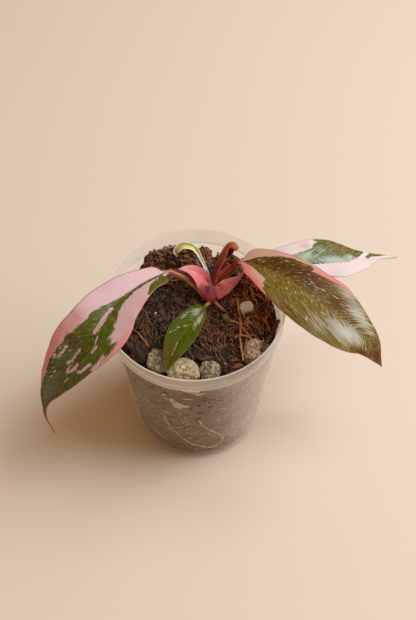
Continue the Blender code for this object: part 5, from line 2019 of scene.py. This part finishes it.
@dataclass
class Roots:
    """The roots: a hub under the crown, and cords from it out to the wall and along it."""

    pot: Pot
    hub: tuple = (9.3, 14.6, 77.5)
    hub_radius: float = 4.0
    radius: float = 1.1
    sunk: float = 0.05
    near_wall: float = 1.2
    # Degrees round the pot and heights
    wall_runs: tuple = (
        ((-117, 55), (-114, 42), (-110, 36), (-105, 30), (-100, 24), (-94, 19), (-86, 16), (-79, 13),
         (-71, 16), (-68, 22), (-72, 30), (-80, 40), (-86, 48), (-89, 57)),
        ((-35, 60), (-24, 48), (-12, 38), (2, 33), (16, 34), (28, 40)),
        ((150, 66), (160, 54), (172, 44), (184, 38), (198, 37), (210, 42)),
    )
    finish: StrawFinish = StrawFinish("living_root", "#dcca70", "#988442", 3.0)

    def build(self) -> None:
        """Builds the hub and the cords as one piece."""
        hub = Vector(self.hub)
        mesh = bmesh.new()
        bmesh.ops.create_icosphere(mesh, subdivisions=4, radius=self.hub_radius * MM,
                                   matrix=Matrix.Translation(hub * MM))
        for vertex in mesh.verts:
            away = vertex.co - hub * MM
            vertex.co += away * 0.2 * noise.noise(vertex.co / MM / 1.8)
        runs = []
        for places in self.wall_runs:
            wall = [self.pot.wall_point(*place, self.sunk + self.radius) for place in places]
            bend = hub.lerp(wall[0], 0.55) + Vector((0, 0, -7))
            points = spline([hub, hub.lerp(bend, 0.4), bend, *wall], 14 * len(wall))
            last = len(points) - 1
            radii = [self.radius * (1 - 0.2 * i / last) * (0.95 + 0.5 * noise.noise(points[i] / 1.8))
                     for i in range(last + 1)]
            runs.append(([self.pressed(*pair) for pair in zip(points, radii)], radii))
        placed(cords("root_skin", runs, self.finish.dress(), 2, mesh), "root", "roots")

    def pressed(self, point: Vector, radius: float) -> Vector:
        """A root's point, pressed against the wall where the curve passes near it.

        Args:
            point: The point.
            radius: The root's radius there.

        Returns:
            The point, moved or as it was.
        """
        most = self.pot.inner_radius(point.z) - self.sunk - radius
        away = math.hypot(point.x, point.y)
        if away < most - self.near_wall:
            return point
        return Vector((point.x * most / away, point.y * most / away, point.z))


@dataclass
class Studio:
    """The pale floor, the soft light and the camera at the photograph's angle."""

    board: BoardFinish = BoardFinish()
    # Half the floor's side, in metres
    floor: float = 40.0
    target: tuple = (7.2, 0.0, 105.96)
    distance: float = 600.0
    elevation: float = 56.62
    roll: float = 1.12
    lens: float = 63.4
    film: float = 36.0
    # Soft boxes: degrees round and up, side in millimetres, watts; all stand to the right, one behind
    boxes: tuple = ((0, 66, 450, 7.6), (0, 30, 1050, 12.8), (30, 54, 450, 5.5), (0, 80, 450, 3.0))
    box_distance: float = 1500.0
    box_colour: str = "#daeeff"
    glow: tuple = ("#ffd8ab", 0.3525)

    def build(self) -> None:
        """Builds the floor, the lights and the camera."""
        mesh = bmesh.new()
        bmesh.ops.create_grid(mesh, x_segments=1, y_segments=1, size=self.floor)
        new_object("floor", mesh, self.board.dress(), smooth=False)
        for index, box in enumerate(self.boxes):
            self.soft_box(f"soft_box_{index}", *box)
        world = bpy.data.worlds.new("studio")
        world.use_nodes = True
        glow = world.node_tree.nodes["Background"]
        glow.inputs["Color"].default_value = linear(self.glow[0])
        glow.inputs["Strength"].default_value = self.glow[1]
        bpy.context.scene.world = world
        bpy.context.scene.view_settings.view_transform = "Standard"
        self.camera()

    def soft_box(self, name: str, turn: float, high: float, size: float, power: float) -> None:
        """A square soft light that looks at the plant.

        Args:
            name: Its name.
            turn: Degrees round from the right towards the back.
            high: Degrees above the floor.
            size: Its side in millimetres.
            power: Its power in watts.
        """
        data = bpy.data.lights.new(name, "AREA")
        data.size = size * MM
        data.energy = power
        data.color = linear(self.box_colour)[:3]
        lamp = bpy.data.objects.new(name, data)
        turn, high = math.radians(turn), math.radians(high)
        way = Vector((math.cos(turn) * math.cos(high), math.sin(turn) * math.cos(high), math.sin(high)))
        lamp.location = way * self.box_distance * MM
        lamp.rotation_euler = (-way).to_track_quat("-Z", "Y").to_euler()
        bpy.context.collection.objects.link(lamp)

    def camera(self) -> None:
        """Builds the camera at the photograph's angle."""
        high = math.radians(self.elevation)
        roll = math.radians(self.roll)
        back = Vector((0, -math.cos(high), math.sin(high)))
        right = Vector((1, 0, 0))
        up = Vector((0, math.sin(high), math.cos(high)))
        sideways = right * math.cos(roll) - up * math.sin(roll)
        upright = right * math.sin(roll) + up * math.cos(roll)
        data = bpy.data.cameras.new("camera")
        data.sensor_fit = "VERTICAL"
        data.sensor_height = self.film
        data.lens = self.lens
        item = bpy.data.objects.new("camera", data)
        turn = Matrix((sideways, upright, back)).transposed().to_4x4()
        place = (Vector(self.target) + back * self.distance) * MM
        item.matrix_world = Matrix.Translation(place) @ turn
        bpy.context.collection.objects.link(item)
        bpy.context.scene.camera = item


def main() -> None:
    """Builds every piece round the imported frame."""
    random.seed(SEED)
    pot = Pot()
    for part in (Studio(), pot, PottingMix(pot), Stones(), Straws(), Roots(pot), Crown(), Foliage()):
        part.build()
        log.info("built %s", type(part).__name__)


if __name__ == "__main__":
    logging.basicConfig(level=logging.INFO, format="%(message)s")
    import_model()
    main()
